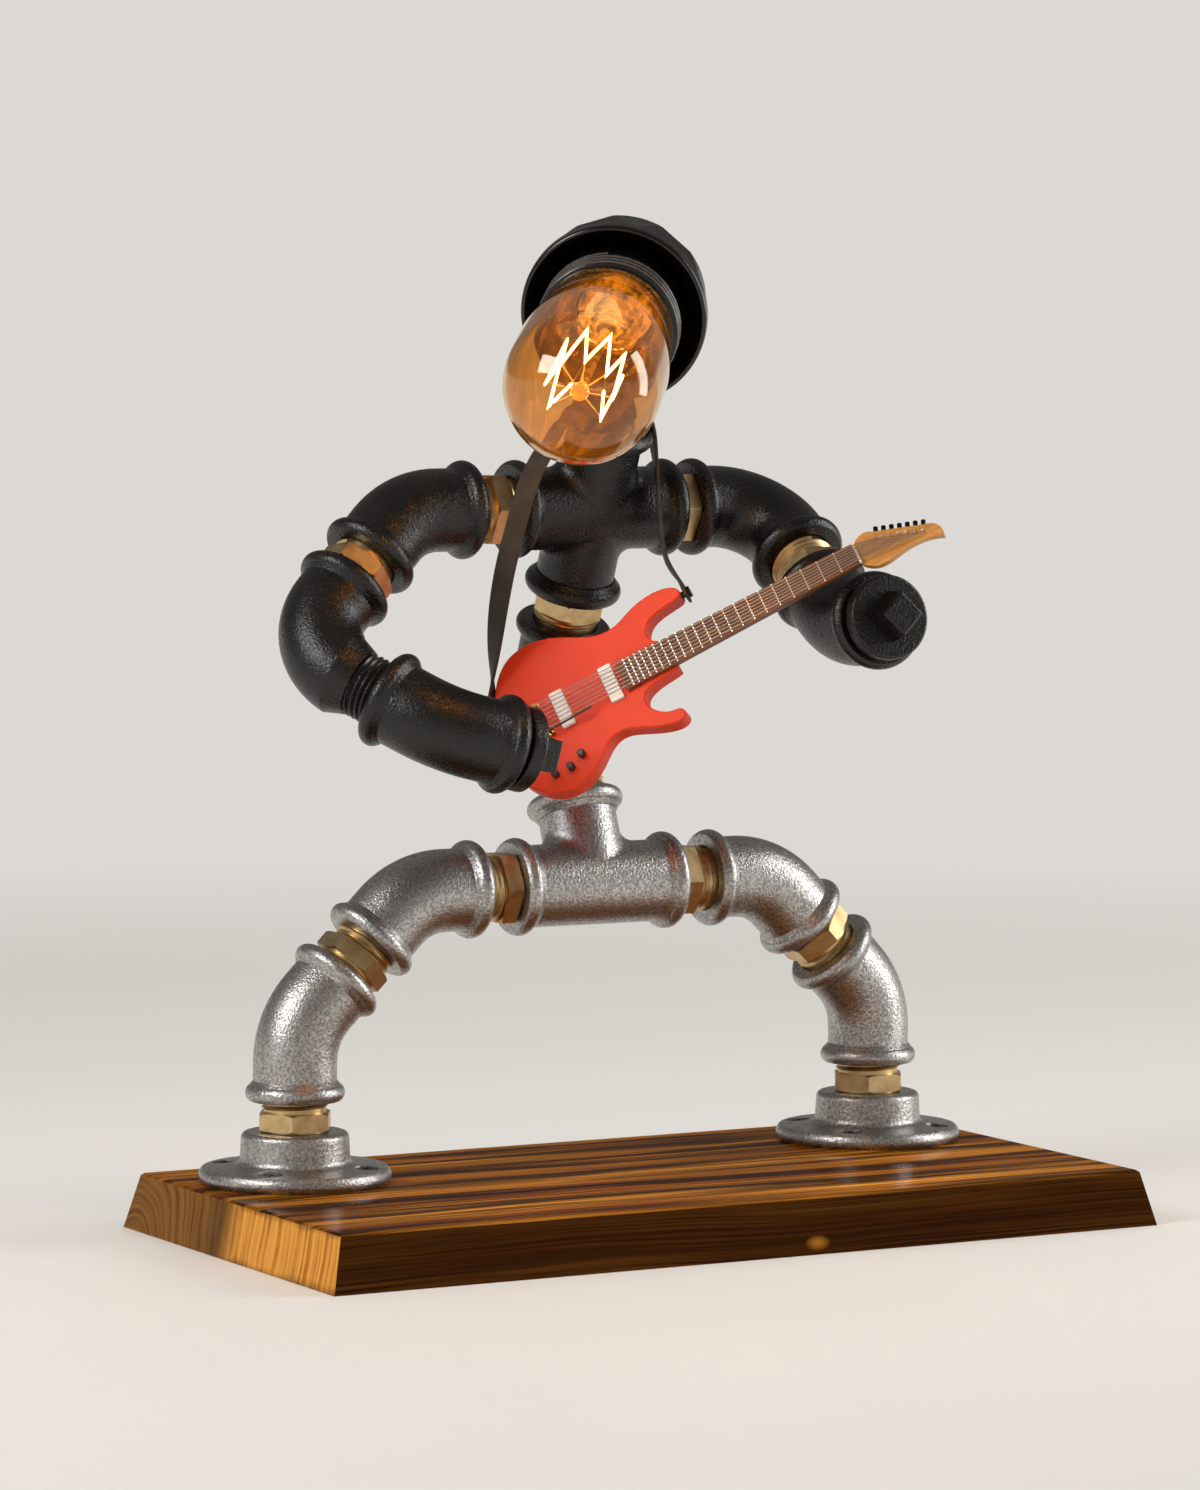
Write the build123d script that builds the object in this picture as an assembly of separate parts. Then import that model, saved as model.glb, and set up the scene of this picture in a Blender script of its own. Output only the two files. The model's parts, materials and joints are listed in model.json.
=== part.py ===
from build123d import *
import os
from math import sin, cos, tan, pi, radians, sqrt

# Pipe-fitting guitarist table lamp, millimetres, +Z up.
# Origin: middle of the board's underside. The figure faces -Y.

OUT = "parts"
os.makedirs(OUT, exist_ok=True)

# Board: two planks edge-glued, all four sides bevelled
BOARD_LENGTH = 277.4
BOARD_DEPTH = 138.0
BOARD_THICK = 17.2
BOARD_BEVEL = 13.7
BOARD_EASE = 0.8
GLUE_LINE_Y = 8.0
FIGURE_X = -1.8
FIGURE_Y = 30.9

# Half-inch malleable fittings, built up from the thread
THREAD_R = 9.6
THREAD_FIT = 0.05
THREAD_GRIP = 10.5
BODY_WALL = 3.3
BEAD_RISE = 2.4
BEAD_SINK = 2.5
BEAD_W = 6.4
BEND_REACH_45 = 22.2
BEND_REACH_90 = 28.7
BEND_R_45 = 26.0
BEND_R_90 = 19.0
BRANCH_STEP = 0.6
BRANCH_FILLET = 4.5
SOCKET_DEPTH = 12.2
PASSAGE_STEP = 2.0
STREET_BODY = 22.6
STREET_TAPER = 7.0
STREET_LIP = 0.9
STREET_MALE = 39.0

# Brass hexagon nipples
HEX_LAND = 0.9
HEX_THICK = 5.4
HEX_CHAMFER = 0.9
NIPPLE_WALL = 3.0
ANKLE_GAP = 9.5
KNEE_GAP = 12.0
HIP_GAP = 12.0
WAIST_LOW_GAP = 15.15
WAIST_TOP_GAP = 10.3
STRUM_SHOULDER_GAP = 13.5
STRUM_ARM_GAP = 9.4
FRET_SHOULDER_GAP = 5.8
FRET_ARM_GAP = 12.3

# Floor flanges
FLANGE_BRIM = 13.0
FLANGE_EDGE = 4.6
FLANGE_HUB_WALL = 7.0
FLANGE_HEIGHT = 15.5
FLANGE_SCREW_INSET = 6.6
SCREW_SHANK_R = 1.7
SCREW_HEAD_R = 3.8
SCREW_HEAD_H = 2.0
SCREW_LENGTH = 15.0
SCREW_FIT = 0.05

# Square-head plugs for hands
PLUG_STANDOFF = 1.6
PLUG_RING_LAND = 3.5
PLUG_RING_T = 5.0
PLUG_SQUARE = 11.2
PLUG_SQUARE_H = 8.6
PLUG_TAPER = 5.0

# Pose of the figure, degrees
LEG_BEND = 45.0
TORSO_LEAN = 22.42
WAIST_BEND = 45.0
HEAD_TURN = -35.4
STRUM_SHOULDER_TURN = 15.7
STRUM_ELBOW_TURN = 32.1
STRUM_WRIST_TURN = -15.6
STRUM_FOREARM_REACH = 31.1
FRET_SHOULDER_TURN = -54.8
FRET_WRIST_TURN = 5.0

# Neck and head
NECK_GAP = 28.3
NECK_PIPE_LAND = 0.9
NECK_SHOW_THREAD = 2.0
NECK_MALE = 33.0
HAT_BACK = 25.0
HAT_LENGTH = 37.0
HAT_RIM_R = 27.9
HAT_RIM_T = 5.0
HAT_FLATS = 49.6
HAT_HEX_H = 14.0
HAT_TURN_BACK = 0.6
HAT_TURN_RIM = 2.7
HAT_BOSS_WALL = 5.9
HAT_WALL = 4.5
HAT_INNER_R = 22.2
HAT_LIP_R = 26.7
HAT_LIP_DEPTH = 6.0
HOLDER_R = 20.2
HOLDER_MOUTH_R = 19.4
HOLDER_MOUTH_DEPTH = 7.4
HOLDER_PROUD = 3.4
HOLDER_FLOOR = 3.4

# Tubular bulb with screw cap
CAP_R = 13.2
CAP_FIT = 0.4
CAP_LENGTH = 16.5
CAP_WALL = 0.6
CONTACT_R = 4.8
CONTACT_H = 1.8
INSULATOR_H = 3.6
BULB_R = 22.9
BULB_LENGTH = 112.0
BULB_WALL = 0.9
BULB_NECK_R = 12.4
BULB_FLARE = 52.4
BULB_SHOULDER = 24.0
STEM_ROD_R = 1.5
STEM_BALL_R = 2.7
FILAMENT_R = 0.42
FILAMENT_SEAT = 0.2
FILAMENT_PEAKS = 7
FILAMENT_SPREAD = 9.8
FILAMENT_HEIGHT = 28.0

# Guitar, one sixth of full size
GUITAR_THICK = 7.0
GUITAR_EDGE = 0.5
GUITAR_AT = (-20.2, -21.09, -60.95)
GUITAR_ALONG = (0.7284, -0.4986, 0.4699)
GUITAR_FRONT = (-0.6756, -0.6365, 0.3721)
STRING_COUNT = 7
STRING_R = 0.18
SADDLE_X = -7.5
SCALE_LENGTH = 109.5
FRET_COUNT = 22
BOARD_END_X = 20.5
HEEL_X = 24.0
NECK_W_BODY = 9.6
NECK_W_NUT = 7.0
NECK_TOP = 0.6
NECK_ROUND = 1.7
NUT_W = 0.7
NECK_DEPTH = 2.4
FRETBOARD_T = 1.2
FRET_H = 0.3
FRET_W = 0.35
HEADSTOCK_T = 2.6
POCKET_FIT = 0.05
PICKUP_SIZE = (4.4, 12.4, 1.3)
BRIDGE_PICKUP_X = -0.3
NECK_PICKUP_X = 16.7
KNOB_R = 1.2
KNOB_H = 2.6
BRIDGE_T = 0.6
TREMOLO_R = 0.35
TUNER_KEY_R = 0.75
TUNER_POST_R = 0.45
TUNER_POST_H = 1.5

# Leather strap
STRAP_W = 6.4
STRAP_T = 1.1
STRAP_NECK_LIFT = 6.0
STRAP_FIT = 0.1
STRAP_CLEAR = 0.8
STRAP_NECK_FIT = 0.35
PIN_R = 1.1
PIN_HEAD_R = 1.8
PIN_HEAD_T = 0.9
PIN_DEPTH = 2.5

# Lead inside the pipes, gland at the board's rear edge
LEAD_R = 2.2
LEAD_GAP = 0.4
LEAD_HOLE_R = 4.2
LEAD_RISER_R = 7.0
LEAD_SUMP = 0.8
LEAD_HEIGHT = 8.6
GLAND_BORE_R = 3.2
GLAND_LENGTH = 9.0
GLAND_COLLAR_R = 6.4
GLAND_COLLAR_T = 2.4
GLAND_FIT = 0.05

X = Vector(1, 0, 0)
Y = Vector(0, 1, 0)
Z = Vector(0, 0, 1)
LOW = (Align.CENTER, Align.CENTER, Align.MIN)
HIGH = (Align.CENTER, Align.CENTER, Align.MAX)
SOCKET_R = THREAD_R + THREAD_FIT
BODY_R = THREAD_R + BODY_WALL
PASSAGE_R = THREAD_R - PASSAGE_STEP
NIPPLE_BORE_R = THREAD_R - NIPPLE_WALL
HEX_FLATS = 2 * (THREAD_R + HEX_LAND)
FLANGE_HUB_R = THREAD_R + FLANGE_HUB_WALL
FLANGE_R = FLANGE_HUB_R + FLANGE_BRIM
FLANGE_SCREW_CIRCLE = FLANGE_R - FLANGE_SCREW_INSET
PLUG_RING_R = THREAD_R + PLUG_RING_LAND
NECK_PIPE_R = THREAD_R + NECK_PIPE_LAND
HAT_BOSS_R = THREAD_R + HAT_BOSS_WALL
BEAD_R = BODY_R + BEAD_RISE
BRANCH_R = BODY_R - BRANCH_STEP


def square_to(axis, ref):
    """Part of ref at right angles to axis, as a unit vector."""
    return (ref - axis * ref.dot(axis)).normalized()


def turn(axis, ref, bend, clock):
    """Direction that leaves a fitting bent by bend and clocked from ref about axis."""
    side = square_to(axis, ref)
    other = axis.cross(side)
    lean = side * cos(radians(clock)) + other * sin(radians(clock))
    return (axis * cos(radians(bend)) + lean * sin(radians(bend))).normalized()


def seat(origin, axis, ref):
    """Plane at origin whose Z is axis and whose X leans towards ref."""
    return Plane(origin=origin, x_dir=square_to(axis, ref), z_dir=axis)


def spun(points):
    """Solid of revolution about Z from a closed outline of (radius, height)."""
    face = make_face(Polyline(*points, close=True))
    return revolve(Plane.XZ * face, Axis.Z)


def group(shapes):
    """Several loose solids kept as one piece."""
    return Compound([solid for shape in shapes for solid in shape.solids()])


# Fittings, each about its own centre

def bead():
    """Rolled rim of a malleable fitting: face at z = 0, body below."""
    root = BODY_R - BEAD_SINK
    rim = Line((root, 0), (BEAD_R - 1.5, 0))
    roll = ThreePointArc((BEAD_R - 1.5, 0), (BEAD_R, -2.5), (BEAD_R - 1.3, -4.9))
    sweep_in = Line((BEAD_R - 1.3, -4.9), (BODY_R - 0.1, -BEAD_W))
    foot = Line((BODY_R - 0.1, -BEAD_W), (root, -BEAD_W))
    back = Line((root, -BEAD_W), (root, 0))
    return revolve(Plane.XZ * make_face([rim, roll, sweep_in, foot, back]), Axis.Z)


def socket():
    """Threaded socket with a countersunk mouth, cut down from z = 0."""
    mouth = spun([(0, 0.01), (SOCKET_R + 0.9, 0.01), (SOCKET_R, -0.9), (0, -0.9)])
    return Cylinder(SOCKET_R, SOCKET_DEPTH, align=HIGH) + mouth


def bent_tube(radius, start, end, bend, bend_r):
    """Round bar from below up to the origin and out at the bend angle."""
    out = Vector(sin(radians(bend)), 0, cos(radians(bend)))
    path = FilletPolyline((0, 0, -start), (0, 0, 0), tuple(out * end), radius=bend_r)
    return sweep(Plane((0, 0, -start)) * Circle(radius), path=path)


def elbow(bend, reach, bend_r):
    """Female elbow: enters upwards along Z, leaves towards +X."""
    out = Vector(sin(radians(bend)), 0, cos(radians(bend)))
    low = seat(Z * -reach, Z * -1, X)
    high = seat(out * reach, out, Y)
    shell = bent_tube(BODY_R, reach, reach, bend, bend_r) + low * bead() + high * bead()
    return shell - bent_tube(PASSAGE_R, reach, reach, bend, bend_r) - low * socket() - high * socket()


def street_elbow(male):
    """Right-angle elbow with a socket below and a male thread towards +X."""
    low = seat(Z * -BEND_REACH_90, Z * -1, X)
    high = seat(X * STREET_BODY, X, Y)
    shell = bent_tube(BODY_R, BEND_REACH_90, STREET_BODY, 90, BEND_R_90) + low * bead()
    keep = Cone(BODY_R + 0.3, THREAD_R + STREET_LIP, STREET_TAPER, align=HIGH)
    shell -= high * (Cylinder(BEAD_R, STREET_TAPER, align=HIGH) - keep)
    shell += high * Cylinder(THREAD_R, male - STREET_BODY, align=LOW)
    hollow = bent_tube(NIPPLE_BORE_R, BEND_REACH_90, male, 90, BEND_R_90)
    return shell - hollow - low * socket()


def crossing(ports):
    """Tee or cross: run along X, further ports along the given directions."""
    run = Plane.YZ * Cylinder(BODY_R, 2 * BEND_REACH_90)
    for port in ports:
        run += seat(Vector(0, 0, 0), port, X) * Cylinder(BRANCH_R, BEND_REACH_90, align=LOW)
    joins = [e for e in run.edges() if e.geom_type not in (GeomType.CIRCLE, GeomType.LINE)]
    run = fillet(joins, BRANCH_FILLET)
    ends = [X, X * -1] + ports
    for port in ends:
        run += seat(port * BEND_REACH_90, port, Y) * bead()
    for port in ends:
        run -= seat(Vector(0, 0, 0), port, Y) * Cylinder(PASSAGE_R, BEND_REACH_90, align=LOW)
        run -= seat(port * BEND_REACH_90, port, Y) * socket()
    return run


def nipple(gap, hex_from):
    """Hexagon nipple along Z: first fitting's face at z = 0, the second at z = gap."""
    corner = HEX_FLATS / sqrt(3)
    blank = chamfer(Cylinder(corner, HEX_THICK, align=LOW).edges(), HEX_CHAMFER * 0.5, HEX_CHAMFER)
    nut = extrude(RegularPolygon(corner, 6), HEX_THICK) & blank
    tube = Pos(0, 0, -THREAD_GRIP) * Cylinder(THREAD_R, gap + 2 * THREAD_GRIP, align=LOW)
    hole = Pos(0, 0, -THREAD_GRIP) * Cylinder(NIPPLE_BORE_R, gap + 2 * THREAD_GRIP, align=LOW)
    return tube + Pos(0, 0, hex_from) * nut - hole


def neck_pipe():
    """Plain pipe nipple with threaded ends."""
    tube = Pos(0, 0, -THREAD_GRIP) * Cylinder(THREAD_R, NECK_GAP + 2 * THREAD_GRIP, align=LOW)
    barrel = Cylinder(NECK_PIPE_R, NECK_GAP - 2 * NECK_SHOW_THREAD, align=LOW)
    hole = Pos(0, 0, -THREAD_GRIP) * Cylinder(NIPPLE_BORE_R, NECK_GAP + 2 * THREAD_GRIP, align=LOW)
    return tube + Pos(0, 0, NECK_SHOW_THREAD) * chamfer(barrel.edges(), 0.8) - hole


def plug():
    """Square-head plug: fitting's face at z = 0, head outwards."""
    shank = Pos(0, 0, -THREAD_GRIP) * Cylinder(THREAD_R, THREAD_GRIP + PLUG_STANDOFF, align=LOW)
    ring = fillet(Cylinder(PLUG_RING_R, PLUG_RING_T, align=LOW).edges(), 0.9)
    head = extrude(Rectangle(PLUG_SQUARE, PLUG_SQUARE), PLUG_SQUARE_H, taper=PLUG_TAPER)
    head = fillet(head.edges().filter_by(Axis.Z, reverse=True).group_by(Axis.Z)[-1], 0.7)
    top = PLUG_STANDOFF + PLUG_RING_T
    return shank + Pos(0, 0, PLUG_STANDOFF) * ring + Pos(0, 0, top) * head


def floor_flange():
    """Cast floor flange, underside at z = 0, four countersunk holes."""
    disc = Line((0, 0), (FLANGE_R - 0.8, 0))
    edge = ThreePointArc((FLANGE_R - 0.8, 0), (FLANGE_R, FLANGE_EDGE * 0.5), (FLANGE_R - 1.2, FLANGE_EDGE))
    slope = Line((FLANGE_R - 1.2, FLANGE_EDGE), (FLANGE_HUB_R + 2.4, FLANGE_EDGE + 0.8))
    root_mid = (FLANGE_HUB_R + 0.9, FLANGE_EDGE + 1.5)
    root = ThreePointArc(slope @ 1, root_mid, (FLANGE_HUB_R + 0.3, FLANGE_EDGE + 3.2))
    hub = Line(root @ 1, (FLANGE_HUB_R, FLANGE_HEIGHT - 1.8))
    brow_mid = (FLANGE_HUB_R - 0.6, FLANGE_HEIGHT - 0.5)
    brow = ThreePointArc(hub @ 1, brow_mid, (FLANGE_HUB_R - 2.0, FLANGE_HEIGHT))
    top = Line(brow @ 1, (0, FLANGE_HEIGHT))
    core = Line((0, FLANGE_HEIGHT), (0, 0))
    body = revolve(Plane.XZ * make_face([disc, edge, slope, root, hub, brow, top, core]), Axis.Z)
    body -= Cylinder(PASSAGE_R, FLANGE_HEIGHT, align=LOW) + Pos(0, 0, FLANGE_HEIGHT) * socket()
    for spot in screw_spots():
        body -= spot * screw_cutter(SCREW_FIT, FLANGE_HEIGHT)
    return body


def screw_spots():
    """Four screw places about a flange's axis, at the countersinks' level."""
    return PolarLocations(FLANGE_SCREW_CIRCLE, 4, start_angle=45)


def screw_cutter(fit, up):
    """Shape of a countersunk screw from below the flange to above it."""
    sink = FLANGE_EDGE + 0.2
    head_r = SCREW_HEAD_R + fit
    shank_r = SCREW_SHANK_R + fit
    low = sink - SCREW_HEAD_H
    top = sink + up
    return spun([(0, -0.01), (shank_r, -0.01), (shank_r, low), (head_r, sink), (head_r, top), (0, top)])


def wood_screw():
    """Countersunk wood screw, head flush with the flange's upper face."""
    sink = FLANGE_EDGE + 0.2
    low = sink - SCREW_HEAD_H
    tip = sink - SCREW_LENGTH
    body = spun([(0, tip), (SCREW_SHANK_R, tip + 3), (SCREW_SHANK_R, low), (SCREW_HEAD_R, sink), (0, sink)])
    slot = Pos(0, 0, sink) * (Box(4.4, 0.8, 1.6) + Box(0.8, 4.4, 1.6))
    return body - slot


def four_screws():
    """The four screws of one flange."""
    return group([spot * wood_screw() for spot in screw_spots()])


# Chain of the figure: places and directions

figure = Vector(FIGURE_X, FIGURE_Y, 0)
shin_z = BOARD_THICK + FLANGE_HEIGHT + ANKLE_GAP + BEND_REACH_45
leg_step = 2 * BEND_REACH_45 + KNEE_GAP
leg_up = cos(radians(LEG_BEND)) * leg_step
leg_in = sin(radians(LEG_BEND)) * leg_step
hip_x = BEND_REACH_90 + HIP_GAP + BEND_REACH_45
foot_x = hip_x + leg_in
tee_at = figure + Z * (shin_z + leg_up)

lower_back = turn(Z, Y, TORSO_LEAN, 0)
spine = turn(lower_back, Y * -1, WAIST_BEND, 0)
waist_at = tee_at + lower_back * (BEND_REACH_90 + WAIST_LOW_GAP + BEND_REACH_45)
chest_at = waist_at + spine * (BEND_REACH_45 + WAIST_TOP_GAP + BEND_REACH_90)

strum_shoulder_at = chest_at - X * (BEND_REACH_90 + STRUM_SHOULDER_GAP + BEND_REACH_45)
strum_upper = turn(X * -1, Z * -1, 45, STRUM_SHOULDER_TURN)
strum_elbow_at = strum_shoulder_at + strum_upper * (BEND_REACH_45 + STRUM_ARM_GAP + BEND_REACH_90)
strum_fore = turn(strum_upper, X, 90, STRUM_ELBOW_TURN)
strum_wrist_at = strum_elbow_at + strum_fore * (STRUM_FOREARM_REACH + BEND_REACH_45)
strum_hand = turn(strum_fore, X, 45, STRUM_WRIST_TURN)

fret_shoulder_at = chest_at + X * (2 * BEND_REACH_90 + FRET_SHOULDER_GAP)
fret_upper = turn(X, Z * -1, 90, FRET_SHOULDER_TURN)
fret_wrist_at = fret_shoulder_at + fret_upper * (BEND_REACH_90 + FRET_ARM_GAP + BEND_REACH_45)
fret_hand = turn(fret_upper, Y * -1, 45, FRET_WRIST_TURN)

neck_top = BEND_REACH_90 + NECK_GAP
head_at = chest_at + spine * (neck_top + BEND_REACH_90)
face_to = turn(spine, Y * -1, 90, HEAD_TURN)
head = seat(head_at, face_to, spine)

pieces = {}

# Board

spread = BOARD_THICK * tan(radians(BOARD_BEVEL))
footprint = Rectangle(BOARD_LENGTH + 2 * spread, BOARD_DEPTH + 2 * spread)
slab = extrude(footprint, BOARD_THICK, taper=BOARD_BEVEL)
slab = chamfer(slab.faces().sort_by(Axis.Z)[-1].edges(), BOARD_EASE)
feet = {"left": figure - X * foot_x, "right": figure + X * foot_x}
rear_y = BOARD_DEPTH / 2 + spread * (1 - LEAD_HEIGHT / BOARD_THICK)
gland_at = Vector(feet["right"].X, rear_y, LEAD_HEIGHT)
riser = Vector(feet["right"].X, FIGURE_Y, LEAD_HEIGHT - LEAD_HOLE_R - LEAD_SUMP)
slab -= Pos(riser) * Cylinder(LEAD_RISER_R, BOARD_THICK, align=LOW)
tunnel = seat(gland_at + Y * 8, Y * -1, X)
slab -= tunnel * Cylinder(LEAD_HOLE_R, gland_at.Y + 8 - FIGURE_Y, align=LOW)
pilot_depth = SCREW_LENGTH - FLANGE_EDGE + 0.8
pilot = Pos(0, 0, 0.01) * Cylinder(SCREW_SHANK_R + SCREW_FIT, pilot_depth, align=HIGH)
for foot in feet.values():
    for spot in screw_spots():
        slab -= Pos(foot + Z * BOARD_THICK) * spot * pilot
half = 2 * BOARD_DEPTH
rear_cut = Pos(0, GLUE_LINE_Y + half / 2, 0) * Box(2 * BOARD_LENGTH, half, half)
pieces["base_rear_plank"] = slab & rear_cut
pieces["base_front_plank"] = slab - rear_cut

bush = LEAD_HOLE_R - GLAND_FIT
gland = Pos(0, 0, -GLAND_LENGTH) * Cylinder(bush, GLAND_LENGTH, align=LOW)
collar = Cylinder(GLAND_COLLAR_R, GLAND_COLLAR_T, align=LOW)
gland += fillet(collar.edges().sort_by(Axis.Z)[-1], 1.0)
gland -= Pos(0, 0, -GLAND_LENGTH) * Cylinder(GLAND_BORE_R, GLAND_LENGTH + GLAND_COLLAR_T, align=LOW)
collar_seat = spread / BOARD_THICK * GLAND_COLLAR_R
spotface = seat(gland_at - Y * collar_seat, Y, X)
pieces["cable_gland"] = spotface * gland
pieces["base_rear_plank"] -= spotface * Cylinder(GLAND_COLLAR_R + GLAND_FIT, 8, align=LOW)

# Legs, mirrored about the figure's middle

shin_elbow = elbow(LEG_BEND, BEND_REACH_45, BEND_R_45)
bend_45 = elbow(45, BEND_REACH_45, BEND_R_45)
for side, sign in (("left", -1), ("right", 1)):
    foot = feet[side] + Z * BOARD_THICK
    inward = X * -sign
    rise = turn(Z, inward, LEG_BEND, 0)
    shin_at = feet[side] + Z * shin_z
    thigh_at = shin_at + rise * leg_step
    pieces[side + "_floor_flange"] = Pos(foot) * floor_flange()
    pieces[side + "_flange_screws"] = Pos(foot) * four_screws()
    ankle = seat(foot + Z * FLANGE_HEIGHT, Z, X)
    pieces[side + "_ankle_nipple"] = ankle * nipple(ANKLE_GAP, 0.6)
    pieces[side + "_shin_elbow"] = seat(shin_at, Z, inward) * shin_elbow
    knee = seat(shin_at + rise * BEND_REACH_45, rise, Y)
    pieces[side + "_knee_nipple"] = knee * nipple(KNEE_GAP, 2.6 if sign < 0 else 4.4)
    pieces[side + "_thigh_elbow"] = seat(thigh_at, rise, inward) * shin_elbow
    hip = seat(thigh_at + inward * BEND_REACH_45, inward, Y)
    pieces[side + "_hip_nipple"] = hip * nipple(HIP_GAP, HIP_GAP - HEX_THICK - 0.7)

# Trunk

pieces["hip_tee"] = seat(tee_at, lower_back, X) * crossing([Z])
tee_top = seat(tee_at + lower_back * BEND_REACH_90, lower_back, X)
pieces["waist_lower_nipple"] = tee_top * nipple(WAIST_LOW_GAP, 8.0)
pieces["waist_elbow"] = seat(waist_at, lower_back, Y * -1) * bend_45
waist_top = seat(waist_at + spine * BEND_REACH_45, spine, X)
pieces["waist_upper_nipple"] = waist_top * nipple(WAIST_TOP_GAP, 4.3)
pieces["chest_cross"] = seat(chest_at, spine, X) * crossing([Z, Z * -1])
chest_top = seat(chest_at + spine * BEND_REACH_90, spine, X)
pieces["neck_nipple"] = chest_top * neck_pipe()

# Arms

strum_port = seat(chest_at - X * BEND_REACH_90, X * -1, Y)
pieces["strum_shoulder_nipple"] = strum_port * nipple(STRUM_SHOULDER_GAP, 3.6)
pieces["strum_shoulder_elbow"] = seat(strum_shoulder_at, X * -1, strum_upper) * bend_45
upper_port = seat(strum_shoulder_at + strum_upper * BEND_REACH_45, strum_upper, Y)
pieces["strum_arm_nipple"] = upper_port * nipple(STRUM_ARM_GAP, 2.8)
strum_crook = seat(strum_elbow_at, strum_upper, strum_fore)
pieces["strum_street_elbow"] = strum_crook * street_elbow(STREET_MALE)
pieces["strum_forearm_elbow"] = seat(strum_wrist_at, strum_fore, strum_hand) * bend_45
strum_palm = seat(strum_wrist_at + strum_hand * BEND_REACH_45, strum_hand, Z)
pieces["strum_hand_plug"] = strum_palm * plug()

bend_90 = elbow(90, BEND_REACH_90, BEND_R_90)
fret_port = seat(chest_at + X * BEND_REACH_90, X, Y)
pieces["fret_shoulder_nipple"] = fret_port * nipple(FRET_SHOULDER_GAP, 0.2)
pieces["fret_shoulder_elbow"] = seat(fret_shoulder_at, X, fret_upper) * bend_90
fore_port = seat(fret_shoulder_at + fret_upper * BEND_REACH_90, fret_upper, X)
pieces["fret_arm_nipple"] = fore_port * nipple(FRET_ARM_GAP, 6.7)
pieces["fret_forearm_elbow"] = seat(fret_wrist_at, fret_upper, fret_hand) * bend_45
fret_palm = seat(fret_wrist_at + fret_hand * BEND_REACH_45, fret_hand, Z + X)
pieces["fret_hand_plug"] = fret_palm * plug()

# Head: elbow, hat and lampholder along the bulb's axis

pieces["neck_elbow"] = seat(head_at, spine, face_to) * street_elbow(NECK_MALE)

rim_z = HAT_BACK + HAT_LENGTH
hex_z = rim_z - HAT_RIM_T - HAT_HEX_H
boss_z = HAT_BACK + HAT_WALL
floor_z = boss_z + 1.5
hat_hex_r = HAT_FLATS / sqrt(3)
crown = spun([
    (0, HAT_BACK), (HAT_BOSS_R, HAT_BACK), (HAT_BOSS_R, boss_z), (HAT_FLATS / 2, hex_z), (0, hex_z),
])
turned = spun([
    (0, hex_z), (HAT_FLATS / 2 + HAT_TURN_BACK, hex_z),
    (HAT_FLATS / 2 + HAT_TURN_RIM, hex_z + HAT_HEX_H), (0, hex_z + HAT_HEX_H),
])
crown += (Pos(0, 0, hex_z) * extrude(RegularPolygon(hat_hex_r, 6), HAT_HEX_H)) & turned
rim = Pos(0, 0, rim_z - HAT_RIM_T) * Cylinder(HAT_RIM_R, HAT_RIM_T, align=LOW)
crown += fillet(rim.edges().filter_by(GeomType.CIRCLE), 1.2)
cavity = spun([
    (0, floor_z), (HAT_BOSS_R - HAT_WALL, floor_z), (HAT_INNER_R, hex_z - 3),
    (HAT_INNER_R, rim_z - HAT_LIP_DEPTH), (HAT_LIP_R, rim_z), (HAT_LIP_R, rim_z + 1), (0, rim_z + 1),
])
crown -= cavity
crown -= Pos(0, 0, HAT_BACK) * Cylinder(SOCKET_R, HAT_LENGTH, align=LOW)
pieces["hat_cap"] = head * crown

holder_front = rim_z + HOLDER_PROUD
mouth_z = holder_front - HOLDER_MOUTH_DEPTH
well_z = NECK_MALE + HOLDER_FLOOR
well_r = CAP_R + CAP_FIT
cup = spun([
    (0, NECK_MALE), (12.4, NECK_MALE), (well_r + 1.8, well_z - 0.4), (well_r + 2.0, well_z + 4),
    (HOLDER_R, well_z + 9), (HOLDER_R, holder_front - 0.6),
    (HOLDER_R - 0.4, holder_front), (0, holder_front),
])
cup -= spun([
    (0, well_z), (well_r, well_z), (well_r, mouth_z), (HOLDER_MOUTH_R - 1.5, mouth_z),
    (HOLDER_MOUTH_R, mouth_z + 2), (HOLDER_MOUTH_R, holder_front + 1), (0, holder_front + 1),
])
cup -= Pos(0, 0, NECK_MALE) * Cylinder(LEAD_R + LEAD_GAP, HOLDER_FLOOR, align=LOW)
pieces["lamp_holder"] = head * cup

# Bulb, from the contact outwards

tip_z = well_z + 0.3
insulator_z = tip_z + CONTACT_H
cap_z = insulator_z + INSULATOR_H
cap_end = cap_z + CAP_LENGTH
neck_z = cap_end - 3.0
dome_z = tip_z + BULB_LENGTH - BULB_R
wide_z = neck_z + BULB_FLARE


def envelope(wall):
    """Solid inside the glass surface that lies wall below the outside."""
    neck_r = BULB_NECK_R - wall
    wide_r = BULB_R - wall
    up = Line((0, neck_z - wall), (neck_r, neck_z - wall))
    throat = Line(up @ 1, (neck_r, neck_z + 3.4))
    shoulder = (wide_r, wide_z - BULB_SHOULDER)
    flare = Bezier(throat @ 1, (neck_r + 2.2, neck_z + 10.4), shoulder, (wide_r, wide_z))
    tube = Line(flare @ 1, (wide_r, dome_z))
    diagonal = wide_r * sin(pi / 4)
    dome = ThreePointArc(tube @ 1, (diagonal, dome_z + diagonal), (0, dome_z + wide_r))
    core = Line(dome @ 1, (0, neck_z - wall))
    return revolve(Plane.XZ * make_face([up, throat, flare, tube, dome, core]), Axis.Z)


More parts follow.
